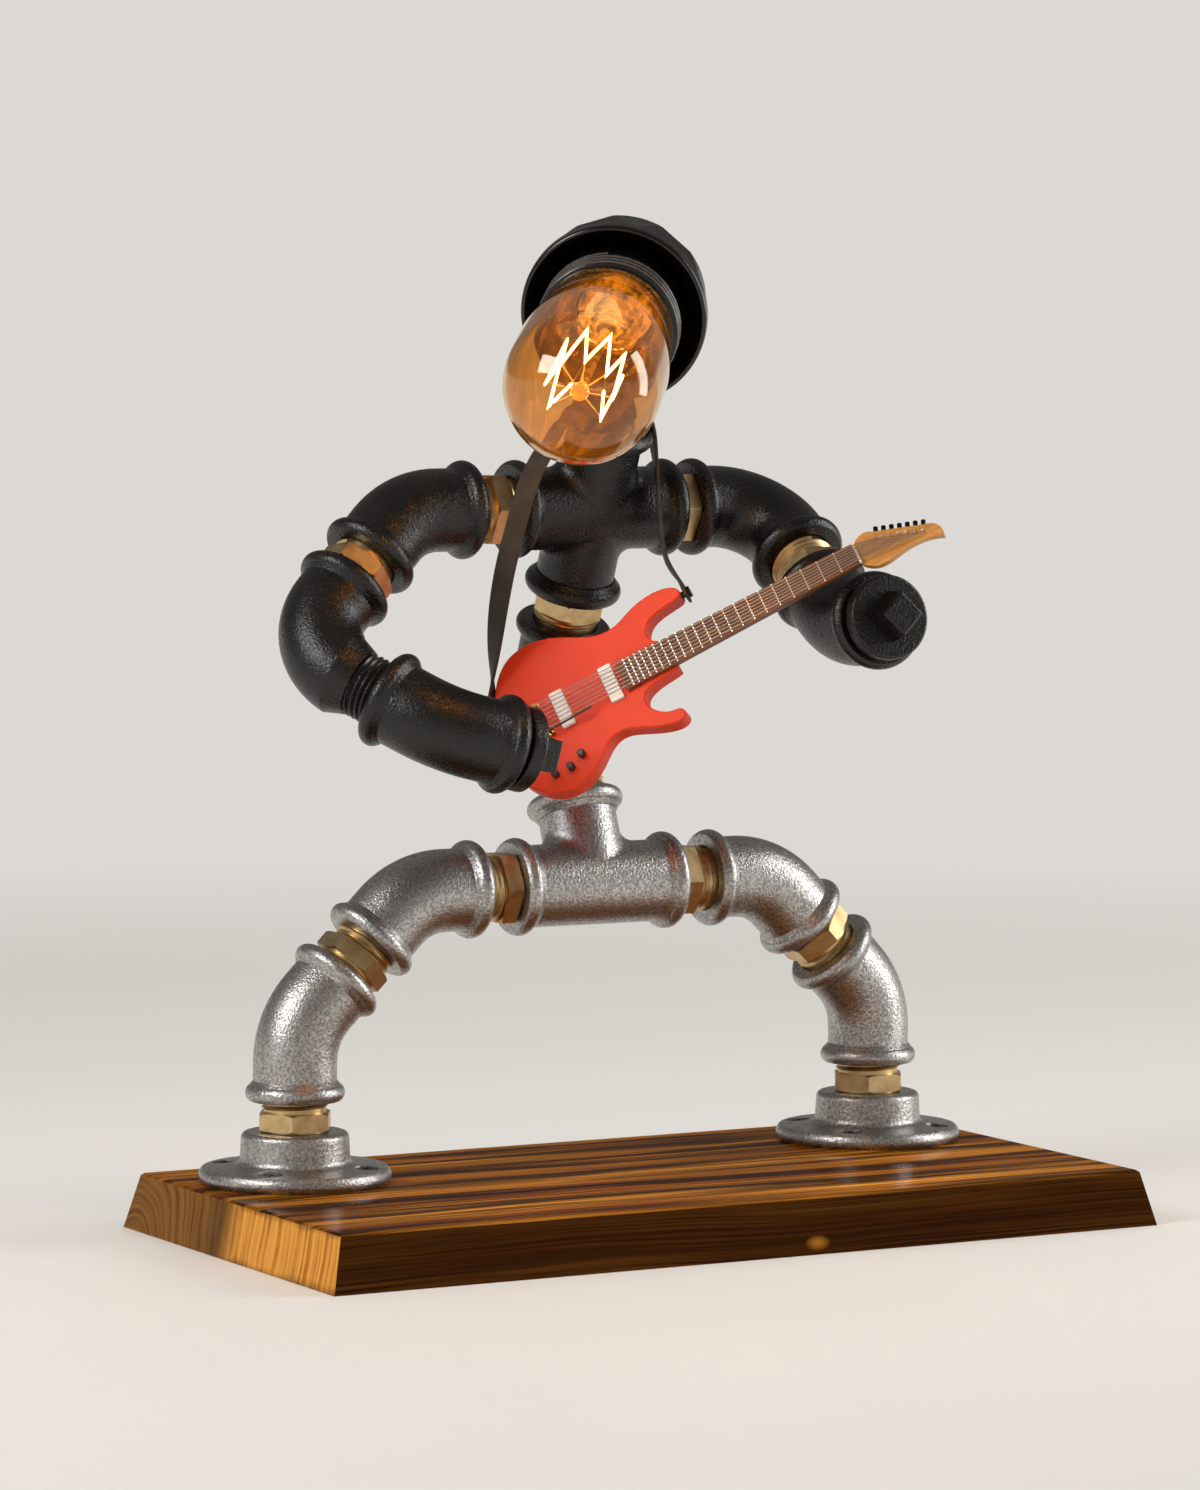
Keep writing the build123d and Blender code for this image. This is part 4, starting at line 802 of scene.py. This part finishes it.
def blown_glass(name, colour, glow, beside, beyond, calm):
    """Blown glass: clear with a tint and slight flow marks, with a painted glow: it emits the
    filament's colour in streaks, set by its distance from the filament.
    """
    made, tree, shader, place = begin(name)
    flow = add(tree, "ShaderNodeTexNoise", {"Vector": place, "Scale": 1 / (16 * MM), "Detail": 1.0})
    bump = add(tree, "ShaderNodeBump", {
        "Height": flow.outputs[0], "Strength": 0.06, "Distance": 0.4 * MM,
    })
    # Painted glow: the glass emits light by its distance from the filament's middle, in place of
    # the filament's light and reflections on it
    middle = tuple(c * MM for c in along_axis(HEAD_AT, FACE_TO, FILAMENT_MIDDLE))
    away = add(tree, "ShaderNodeVectorMath", {0: place, 1: middle}, operation="DISTANCE")
    painted_glow_fade = add(tree, "ShaderNodeMapRange", {
        "Value": away.outputs["Value"], "From Min": 18 * MM, "From Max": 55 * MM, "To Min": beside,
        "To Max": beyond,
    }, interpolation_type="SMOOTHSTEP")
    # The painted glow is broken into streaks, like reflections of the filament
    painted_glow_streak = add(tree, "ShaderNodeTexNoise", {
        "Vector": place, "Scale": 1 / (5 * MM), "Detail": 2.0, "Distortion": 1.0,
    })
    seen = add(tree, "ShaderNodeMapRange", {
        "Value": painted_glow_streak.outputs[0], "From Min": 0.43, "From Max": 0.6, "To Min": calm,
        "To Max": 1.0,
    })
    glow_strength = add(tree, "ShaderNodeMath", {
        0: painted_glow_fade.outputs[0], 1: seen.outputs[0],
    }, operation="MULTIPLY")
    feed(tree, shader, {
        "Base Color": solid(colour), "Roughness": 0.0, "Transmission Weight": 1.0, "IOR": 1.5,
        "Normal": bump.outputs[0], "Emission Color": solid(glow),
        "Emission Strength": glow_strength.outputs[0],
    })
    return made


def glowing_wire(colours):
    """Carbon filament at work: white-hot, a little brighter in places."""
    made, tree, shader, place = begin("Glowing carbon filament")
    waver = add(tree, "ShaderNodeTexNoise", {"Vector": place, "Scale": 1 / (6 * MM), "Detail": 1.0})
    glow_strength = add(tree, "ShaderNodeMapRange", {
        "Value": waver.outputs[0], "To Min": 14.0, "To Max": 24.0,
    })
    feed(tree, shader, {
        "Base Color": solid(colours.glow), "Roughness": 0.6,
        "Emission Color": solid(colours.white_heat), "Emission Strength": glow_strength.outputs[0],
    })
    return made


def along_axis(origin, axis, step):
    """Point on an axis, step millimetres from its origin."""
    return tuple(o + a * step for o, a in zip(origin, axis))


def frame_at(origin, axis, ref):
    """Matrix whose Z is axis and whose X leans towards ref, with origin in millimetres."""
    z = Vector(axis).normalized()
    x = Vector(ref)
    x = (x - z * x.dot(z)).normalized()
    y = z.cross(x)
    turned = Matrix((x, y, z)).transposed().to_4x4()
    return Matrix.Translation(Vector(origin) * MM) @ turned


def finish_piece(name, bm, place, material, body, smooth_angle=35.0):
    """Makes a placed mesh object from a bmesh and lets it ride on a body."""
    bmesh.ops.transform(bm, matrix=place, verts=bm.verts)
    bmesh.ops.remove_doubles(bm, verts=bm.verts, dist=1e-7)
    bmesh.ops.recalc_face_normals(bm, faces=bm.faces)
    limit = math.radians(smooth_angle)
    for edge in bm.edges:
        edge.smooth = len(edge.link_faces) == 2 and edge.calc_face_angle(0.0) < limit
    for face in bm.faces:
        face.smooth = True
    mesh = bpy.data.meshes.new(name)
    bm.to_mesh(mesh)
    bm.free()
    piece = bpy.data.objects.new(name, mesh)
    bpy.context.scene.collection.objects.link(piece)
    mesh.materials.append(material)
    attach(piece, body)
    return piece


def dress(names, material):
    """Gives CAD nodes their finish."""
    for name in names:
        node = frame["nodes"][name]
        node.data.materials.clear()
        node.data.materials.append(material)


def thread(name, origin, axis, run, root, crest, pitch, material, body, rounded=False):
    """Helical ridge along an axis: a V or rounded profile swept round and up, with closed ends."""
    turns = max(run / pitch - THREAD_BARE, THREAD_LEAST)
    steps = max(int(THREAD_STEPS * turns), THREAD_LEAST_STEPS)
    bm = bmesh.new()
    half = RIDGE_HALF * pitch
    rise = crest - root
    if rounded:
        turn = [math.pi * k / ROUND_RIDGE_STEPS for k in range(ROUND_RIDGE_STEPS + 1)]
        corners = [(root + rise * math.sin(a), half * (1 - math.cos(a))) for a in turn]
    else:
        eased = crest - RIDGE_EASE * rise
        low, high = (half * share for share in RIDGE_CREST)
        corners = [(root, 0.0), (eased, low), (crest, half), (eased, high), (root, 2 * half)]
    profile = bm.faces.new([bm.verts.new((r, 0.0, z)) for r, z in corners])
    bmesh.ops.spin(bm, geom=[profile], cent=(0, 0, 0), axis=(0, 0, 1),
                   dvec=(0, 0, turns * pitch / steps), angle=2 * math.pi * turns, steps=steps,
                   use_merge=False, use_duplicate=False)
    rims = [edge for edge in bm.edges if len(edge.link_faces) == 1]
    bmesh.ops.holes_fill(bm, edges=rims, sides=len(corners))
    ref = (0, 0, 1) if abs(axis[2]) < 0.9 else (1, 0, 0)
    return finish_piece(name, bm, frame_at(origin, axis, ref), material, body, 50.0)


def lathe(outline, closed):
    """Bmesh of an outline, as radius and height in metres, spun a full turn."""
    bm = bmesh.new()
    verts = [bm.verts.new((r, 0.0, z)) for r, z in outline]
    line = verts[-1:] + verts if closed else verts
    edges = [bm.edges.new(pair) for pair in zip(line, line[1:])]
    bmesh.ops.spin(bm, geom=verts + edges, cent=(0, 0, 0), axis=(0, 0, 1), dvec=(0, 0, 0),
                   angle=2 * math.pi, steps=LATHE_STEPS, use_merge=True, use_duplicate=False)
    return bm


class LAMP_OT_board(bpy.types.Operator):
    """Scorched pine planks, screws and the cable gland"""

    bl_idname = "lamp.board"
    bl_label = "Board"

    def execute(self, context):
        colours = context.scene.lamp_colours
        sizes = context.scene.lamp_sizes
        for node, (name, pith, shift, burn) in PLANKS.items():
            dress([node], scorched_pine(colours, sizes, name, pith, shift, burn))
        dress(["left_flange_screws", "right_flange_screws"],
              plated_metal("Blackened steel screw", "#4A4745", "#2E2B29", 0.3, 0.45))
        dress(["cable_gland"], moulded_plastic("Black rubber", "#151413", "#24211F", 0.5, 0.7))
        dress(["lead_lower", "lead_upper"],
              moulded_plastic("Woven lead sheath", "#1B1918", "#2C2825", 0.55, 0.75))
        return {"FINISHED"}


class LAMP_OT_castings(bpy.types.Operator):
    """Galvanised legs and black upper body"""

    bl_idname = "lamp.castings"
    bl_label = "Castings"

    def execute(self, context):
        colours = context.scene.lamp_colours
        sizes = context.scene.lamp_sizes
        dress(ZINC_NODES, galvanised_iron(colours, sizes))
        dress(BLACK_NODES, black_iron(colours, sizes, "Oiled black malleable iron", False))
        dress(["hat_cap"], black_iron(colours, sizes, "Oiled black iron with a turned mouth", True))
        turned = turned_black_iron(colours, sizes)
        for name, (origin, axis, run, body) in BLACK_THREADS.items():
            thread(name, origin, axis, run * MM, sizes.thread_root, sizes.thread_crest,
                   sizes.thread_pitch, turned, body)
        return {"FINISHED"}


class LAMP_OT_nipples(bpy.types.Operator):
    """Brass hexagon nipples with the threads that show beside their hexagons"""

    bl_idname = "lamp.nipples"
    bl_label = "Brass nipples"

    def execute(self, context):
        sizes = context.scene.lamp_sizes
        brass = machined_brass(context.scene.lamp_colours, sizes)
        dress(NIPPLES, brass)
        bodies = frame["record"]["behaviour"]["bodies"]
        body_of = {node: body for body, nodes in bodies.items() for node in nodes}
        for name, (origin, axis, gap, hex_from) in NIPPLES.items():
            hex_to = hex_from + HEX_THICK
            for end, start, stop in (("first", 0.0, hex_from), ("second", hex_to, gap)):
                if stop - start > THREAD_SHOWS:
                    thread(f"{name}_{end}_thread", along_axis(origin, axis, start), axis,
                           (stop - start) * MM, sizes.thread_root, sizes.thread_crest,
                           sizes.thread_pitch, brass, body_of[name])
        return {"FINISHED"}


class LAMP_OT_bulb(bpy.types.Operator):
    """Lampholder, glass, cap, stem and glowing filament"""

    bl_idname = "lamp.bulb"
    bl_label = "Bulb and holder"

    def execute(self, context):
        colours = context.scene.lamp_colours
        sizes = context.scene.lamp_sizes
        self.make_holder(sizes)
        dress(["bulb_screw_cap", "bulb_contact"],
              plated_metal("Stamped cap brass", "#BF9A58", "#8F7040", 0.22, 0.4))
        dress(["bulb_insulator"], moulded_plastic("Black vitrite", "#100F0F", "#1C1A1A", 0.12, 0.2))
        # The stem's painted glow grows away from the filament, towards the neck
        dress(["bulb_stem"],
              blown_glass("Stem glass", linear("#F4D9A8"), colours.glow, 0.45, 0.95, 0.1))
        dress(["bulb_support_wires"],
              plated_metal("Nickel support wire", "#C9BFA8", "#9C8F74", 0.3, 0.45))
        dress(["bulb_filament"], glowing_wire(colours))
        self.blow_glass(colours, sizes)
        self.light_up(context)
        return {"FINISHED"}

    def make_holder(self, sizes):
        """Lampholder with its rings, and its front, which stands out of the hat round the glass."""
        phenolic = threaded_phenolic(sizes)
        dress(["lamp_holder"], phenolic)
        low, high = HOLDER_RINGS
        thread("holder_thread", along_axis(HEAD_AT, FACE_TO, low), FACE_TO, (high - low) * MM,
               sizes.holder_root, sizes.holder_crest, sizes.holder_pitch, phenolic, "head",
               True)
        back, front = COLLAR
        outline = (
            (COLLAR_INNER, back), (COLLAR_OUTER, back), (COLLAR_OUTER, front - COLLAR_CHAMFER),
            (COLLAR_OUTER - COLLAR_CHAMFER, front), (COLLAR_INNER, front),
        )
        bm = lathe([(r * MM, z * MM) for r, z in outline], True)
        place = frame_at(HEAD_AT, FACE_TO, SPINE)
        finish_piece("holder_collar", bm, place, phenolic, "head")

    def blow_glass(self, colours, sizes):
        """Tubular bulb spun from its outer and inner walls."""
        bm = lathe(self.wall(sizes, 0.0) + self.wall(sizes, sizes.glass_wall)[::-1], False)
        # Faint painted glow in the bulb's glass beside the filament
        glass = blown_glass("Amber bulb glass", colours.glass, colours.glow, 0.03, 0.0, 0.8)
        place = frame_at(HEAD_AT, FACE_TO, SPINE)
        piece = finish_piece("blown_glass", bm, place, glass, "bulb", 60.0)
        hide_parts("bulb_glass")
        piece.visible_shadow = False

    def light_up(self, context):
        """Warm light from inside the bulb, which rides with it and leaves its glass out."""
        light = bpy.data.lights.new("filament_light", "POINT")
        light.color = context.scene.lamp_colours.glow
        light.energy = FILAMENT_WATTS
        light.shadow_soft_size = FILAMENT_SOFT * MM
        lamp = bpy.data.objects.new("filament_light", light)
        lamp.location = Vector(along_axis(HEAD_AT, FACE_TO, FILAMENT_MIDDLE)) * MM
        context.scene.collection.objects.link(lamp)
        lamp.visible_camera = False
        lamp.visible_transmission = False
        glasses = bpy.data.collections.new("bulb_glasses")
        for glass in (bpy.data.objects["blown_glass"], frame["nodes"]["bulb_stem"]):
            glasses.objects.link(glass)
        lamp.light_linking.receiver_collection = glasses
        for row in glasses.collection_objects:
            row.light_linking.link_state = "EXCLUDE"
        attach(lamp, "bulb")

    def wall(self, sizes, inset):
        """Outline of one glass wall from the crown of the dome to the rim in the cap."""
        wide = sizes.glass_radius - inset
        neck = sizes.glass_neck - inset
        turn = [math.radians(angle) for angle in range(0, 91, DOME_STEP)]
        outline = [(wide * math.sin(a), GLASS_DOME * MM + wide * math.cos(a)) for a in turn]
        outline.append((wide, GLASS_WIDE * MM))
        radii = (wide, wide - SHOULDER_IN * MM, neck + THROAT_OUT * MM, neck)
        levels = (GLASS_WIDE, GLASS_WIDE - SHOULDER_LONG,
                  GLASS_NECK + THROAT_UP, GLASS_NECK + NECK_TOP)
        for step in range(1, FLARE_STEPS + 1):
            t = step / FLARE_STEPS
            share = ((1 - t) ** 3, 3 * t * (1 - t) ** 2, 3 * t * t * (1 - t), t ** 3)
            radius = sum(s * r for s, r in zip(share, radii))
            outline.append((radius, sum(s * v for s, v in zip(share, levels)) * MM))
        return outline + [(neck, GLASS_NECK * MM)]


class LAMP_OT_guitar(bpy.types.Operator):
    """Small electric guitar"""

    bl_idname = "lamp.guitar"
    bl_label = "Guitar"

    def execute(self, context):
        colours = context.scene.lamp_colours
        sizes = context.scene.lamp_sizes
        dress(["guitar_body"], guitar_lacquer(colours, sizes))
        # The last colour is the painted shade on the neck below the nut
        dress(["guitar_neck"], guitar_wood(
            "Lacquered maple", colours.maple, linear("#B77F3C"), 0.4, linear("#6E4426")))
        dress(["guitar_fretboard"], guitar_wood(
            "Oiled brown fingerboard", colours.fingerboard, linear("#6C432C"), 0.5))
        dress(["guitar_frets"], plated_metal("Bright nickel wire", "#FFFDF8", "#F2EFE8", 0.26, 0.4))
        dress(["guitar_strings"],
              plated_metal("Plain steel wire", "#C4BCB2", "#A39B91", 0.24, 0.36))
        dress(["guitar_tremolo_arm"], plated_metal("Dark chrome", "#6A5248", "#4A3A34", 0.2, 0.35))
        dress(["guitar_tuners"], tuner_chrome())
        dress(["strap_pins"], plated_metal("Black chrome", "#3A3735", "#22201F", 0.18, 0.34))
        dress(["guitar_bridge"], plated_metal("Aged gold plate", "#B5893E", "#7E5B26", 0.22, 0.4))
        dress(["guitar_pickups", "guitar_nut"],
              moulded_plastic("White ABS", "#F6F5F2", "#E9E7E3", 0.25, 0.4))
        dress(["guitar_knobs"],
              moulded_plastic("Black knob plastic", "#161312", "#2A2420", 0.25, 0.4))
        return {"FINISHED"}


class LAMP_OT_strap(bpy.types.Operator):
    """Leather strap from the guitar's end pin round the neck to its horn pin"""

    bl_idname = "lamp.strap"
    bl_label = "Strap"

    def execute(self, context):
        sizes = context.scene.lamp_sizes
        half_t = sizes.strap_thick / 2
        half_w = sizes.strap_width / 2
        bm = bmesh.new()
        loops = []
        for k, (spot, normal) in enumerate(STRAP):
            ahead = Vector(STRAP[min(k + 1, len(STRAP) - 1)][0])
            behind = Vector(STRAP[max(k - 1, 0)][0])
            place = frame_at(spot, ahead - behind, normal)
            corners = [bm.verts.new(place @ Vector((x * half_t, y * half_w, 0)))
                       for x, y in ((1, 1), (1, -1), (-1, -1), (-1, 1))]
            loops.append([bm.edges.new((corners[j], corners[(j + 1) % 4])) for j in range(4)])
        for first, second in zip(loops, loops[1:]):
            bmesh.ops.bridge_loops(bm, edges=first + second)
        bmesh.ops.holes_fill(bm, edges=loops[0] + loops[-1], sides=4)
        cross = {edge for loop in loops for edge in loop}
        long_edges = [edge for edge in bm.edges if edge not in cross]
        bmesh.ops.bevel(bm, geom=long_edges, offset=STRAP_BEVEL * MM, offset_type="OFFSET",
                        affect="EDGES", segments=2, profile=0.5, material=-1)
        leather = strap_leather(context.scene.lamp_colours)
        piece = finish_piece(
            "leather_strap", bm, Matrix.Identity(4), leather, "figure", 80.0)
        smooth = piece.modifiers.new("Soft bends", "SUBSURF")
        smooth.levels = 2
        smooth.render_levels = 2
        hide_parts("strap")
        return {"FINISHED"}


class LAMP_OT_stage(bpy.types.Operator):
    """Pale floor, soft studio light and the camera"""

    bl_idname = "lamp.stage"
    bl_label = "Stage"

    def execute(self, context):
        scene = context.scene
        scene.view_settings.view_transform = "Standard"
        self.lay_floor(scene)
        self.light_world(scene)
        self.hang_lights(scene)
        self.place_camera(scene)
        return {"FINISHED"}

    def lay_floor(self, scene):
        """Wide disc that fades into the backdrop away from the lamp."""
        bm = bmesh.new()
        bmesh.ops.create_circle(bm, cap_ends=True, segments=LATHE_STEPS, radius=FLOOR_RADIUS)
        mesh = bpy.data.meshes.new("studio_floor")
        bm.to_mesh(mesh)
        bm.free()
        floor = bpy.data.objects.new("studio_floor", mesh)
        scene.collection.objects.link(floor)
        made, tree, shader, place = begin("Pale floor paint")
        pale = solid(scene.lamp_colours.floor)
        feed(tree, shader, {"Base Color": pale, "Roughness": 0.7, "Specular IOR Level": 0.2})
        far = add(tree, "ShaderNodeVectorMath", {0: place}, operation="LENGTH")
        fade = add(tree, "ShaderNodeMapRange", {
            "Value": far.outputs["Value"], "From Min": FLOOR_FADE[0], "From Max": FLOOR_FADE[1],
        }, interpolation_type="SMOOTHSTEP")
        glow = add(tree, "ShaderNodeEmission", {"Color": pale, "Strength": 1.0})
        mixed = add(tree, "ShaderNodeMixShader", {
            0: fade.outputs[0], 1: shader.outputs[0], 2: glow.outputs[0],
        })
        feed(tree, tree.nodes["Material Output"], {"Surface": mixed.outputs[0]})
        mesh.materials.append(made)

    def light_world(self, scene):
        """Backdrop, pale at eye level and dim above, seen directly and in metal and glass; even
        light besides."""
        world = bpy.data.worlds.new("Studio")
        scene.world = world
        world.use_nodes = True
        tree = world.node_tree
        ray = add(tree, "ShaderNodeLightPath")
        seen = add(tree, "ShaderNodeMath", {
            0: ray.outputs["Is Camera Ray"], 1: ray.outputs["Is Glossy Ray"],
        }, operation="MAXIMUM")
        shown = add(tree, "ShaderNodeMath", {
            0: seen.outputs[0], 1: ray.outputs["Is Transmission Ray"],
        }, operation="MAXIMUM")
        around = add(tree, "ShaderNodeTexCoord")
        toward = add(tree, "ShaderNodeSeparateXYZ", {"Vector": around.outputs["Generated"]})
        height = add(tree, "ShaderNodeMapRange", {
            "Value": toward.outputs[2], "From Min": HORIZON[0], "From Max": HORIZON[1],
            "To Min": 1.0, "To Max": BACKDROP_TOP,
        }, interpolation_type="SMOOTHSTEP")
        level = add(tree, "ShaderNodeMix", {
            0: shown.outputs[0], 2: FILL_LIGHT, 3: height.outputs[0],
        }, data_type="FLOAT")
        feed(tree, tree.nodes["Background"], {
            "Color": solid(scene.lamp_colours.floor), "Strength": level.outputs[0],
        })

    def hang_lights(self, scene):
        """Large soft boxes on the left, on the right and above, and a weak one behind."""
        right = Vector(CAMERA_RIGHT)
        up = Vector((0, 0, 1))
        near = right.cross(up).normalized()
        for name, (place, size, power, glossy) in SOFTBOXES.items():
            offset = place[0] * right + place[1] * near + place[2] * up
            light = bpy.data.lights.new(name, "AREA")
            light.shape = "RECTANGLE"
            light.size, light.size_y = size
            light.energy = power
            lamp = bpy.data.objects.new(name, light)
            lamp.location = Vector(LOOK_AT) * MM + offset
            lamp.rotation_euler = (-offset).to_track_quat("-Z", "Y").to_euler()
            lamp.visible_glossy = glossy
            scene.collection.objects.link(lamp)

    def place_camera(self, scene):
        """Camera at the photograph's view, an image 1200 by 1490, whose size is not set here."""
        data = bpy.data.cameras.new("photo_camera")
        data.lens = CAMERA_LENS
        data.sensor_width = SENSOR_WIDTH
        data.sensor_fit = "AUTO"
        data.clip_end = CLIP_END
        camera = bpy.data.objects.new("photo_camera", data)
        right = Vector(CAMERA_RIGHT).normalized()
        up = Vector(CAMERA_UP).normalized()
        turned = Matrix((right, up, right.cross(up))).transposed().to_4x4()
        camera.matrix_world = Matrix.Translation(Vector(CAMERA_AT) * MM) @ turned
        scene.collection.objects.link(camera)
        scene.camera = camera


class LAMP_PT_parts(bpy.types.Panel):
    """Buttons for each group of pieces, with the colours and sizes they use"""

    bl_idname = "LAMP_PT_parts"
    bl_label = "Pipe guitarist lamp"
    bl_space_type = "VIEW_3D"
    bl_region_type = "UI"
    bl_category = "Lamp"

    def draw(self, context):
        for operator in OPERATORS:
            self.layout.operator(operator.bl_idname)
        for group in (context.scene.lamp_sizes, context.scene.lamp_colours):
            box = self.layout.box()
            for key in group.__annotations__:
                box.prop(group, key)


OPERATORS = (
    LAMP_OT_board, LAMP_OT_castings, LAMP_OT_nipples, LAMP_OT_bulb, LAMP_OT_guitar, LAMP_OT_strap,
    LAMP_OT_stage,
)
CLASSES = (LampColours, LampSizes) + OPERATORS + (LAMP_PT_parts,)


def register():
    """Registers the classes and puts the settings on the scene."""
    for cls in CLASSES:
        bpy.utils.register_class(cls)
    bpy.types.Scene.lamp_colours = bpy.props.PointerProperty(type=LampColours)
    bpy.types.Scene.lamp_sizes = bpy.props.PointerProperty(type=LampSizes)


def unregister():
    """Takes the settings and the classes away."""
    del bpy.types.Scene.lamp_sizes
    del bpy.types.Scene.lamp_colours
    for cls in reversed(CLASSES):
        bpy.utils.unregister_class(cls)


def main():
    """Registers the classes and builds every group of pieces in order."""
    register()
    bpy.ops.lamp.board()
    bpy.ops.lamp.castings()
    bpy.ops.lamp.nipples()
    bpy.ops.lamp.bulb()
    bpy.ops.lamp.guitar()
    bpy.ops.lamp.strap()
    bpy.ops.lamp.stage()


if __name__ == "__main__":
    main()
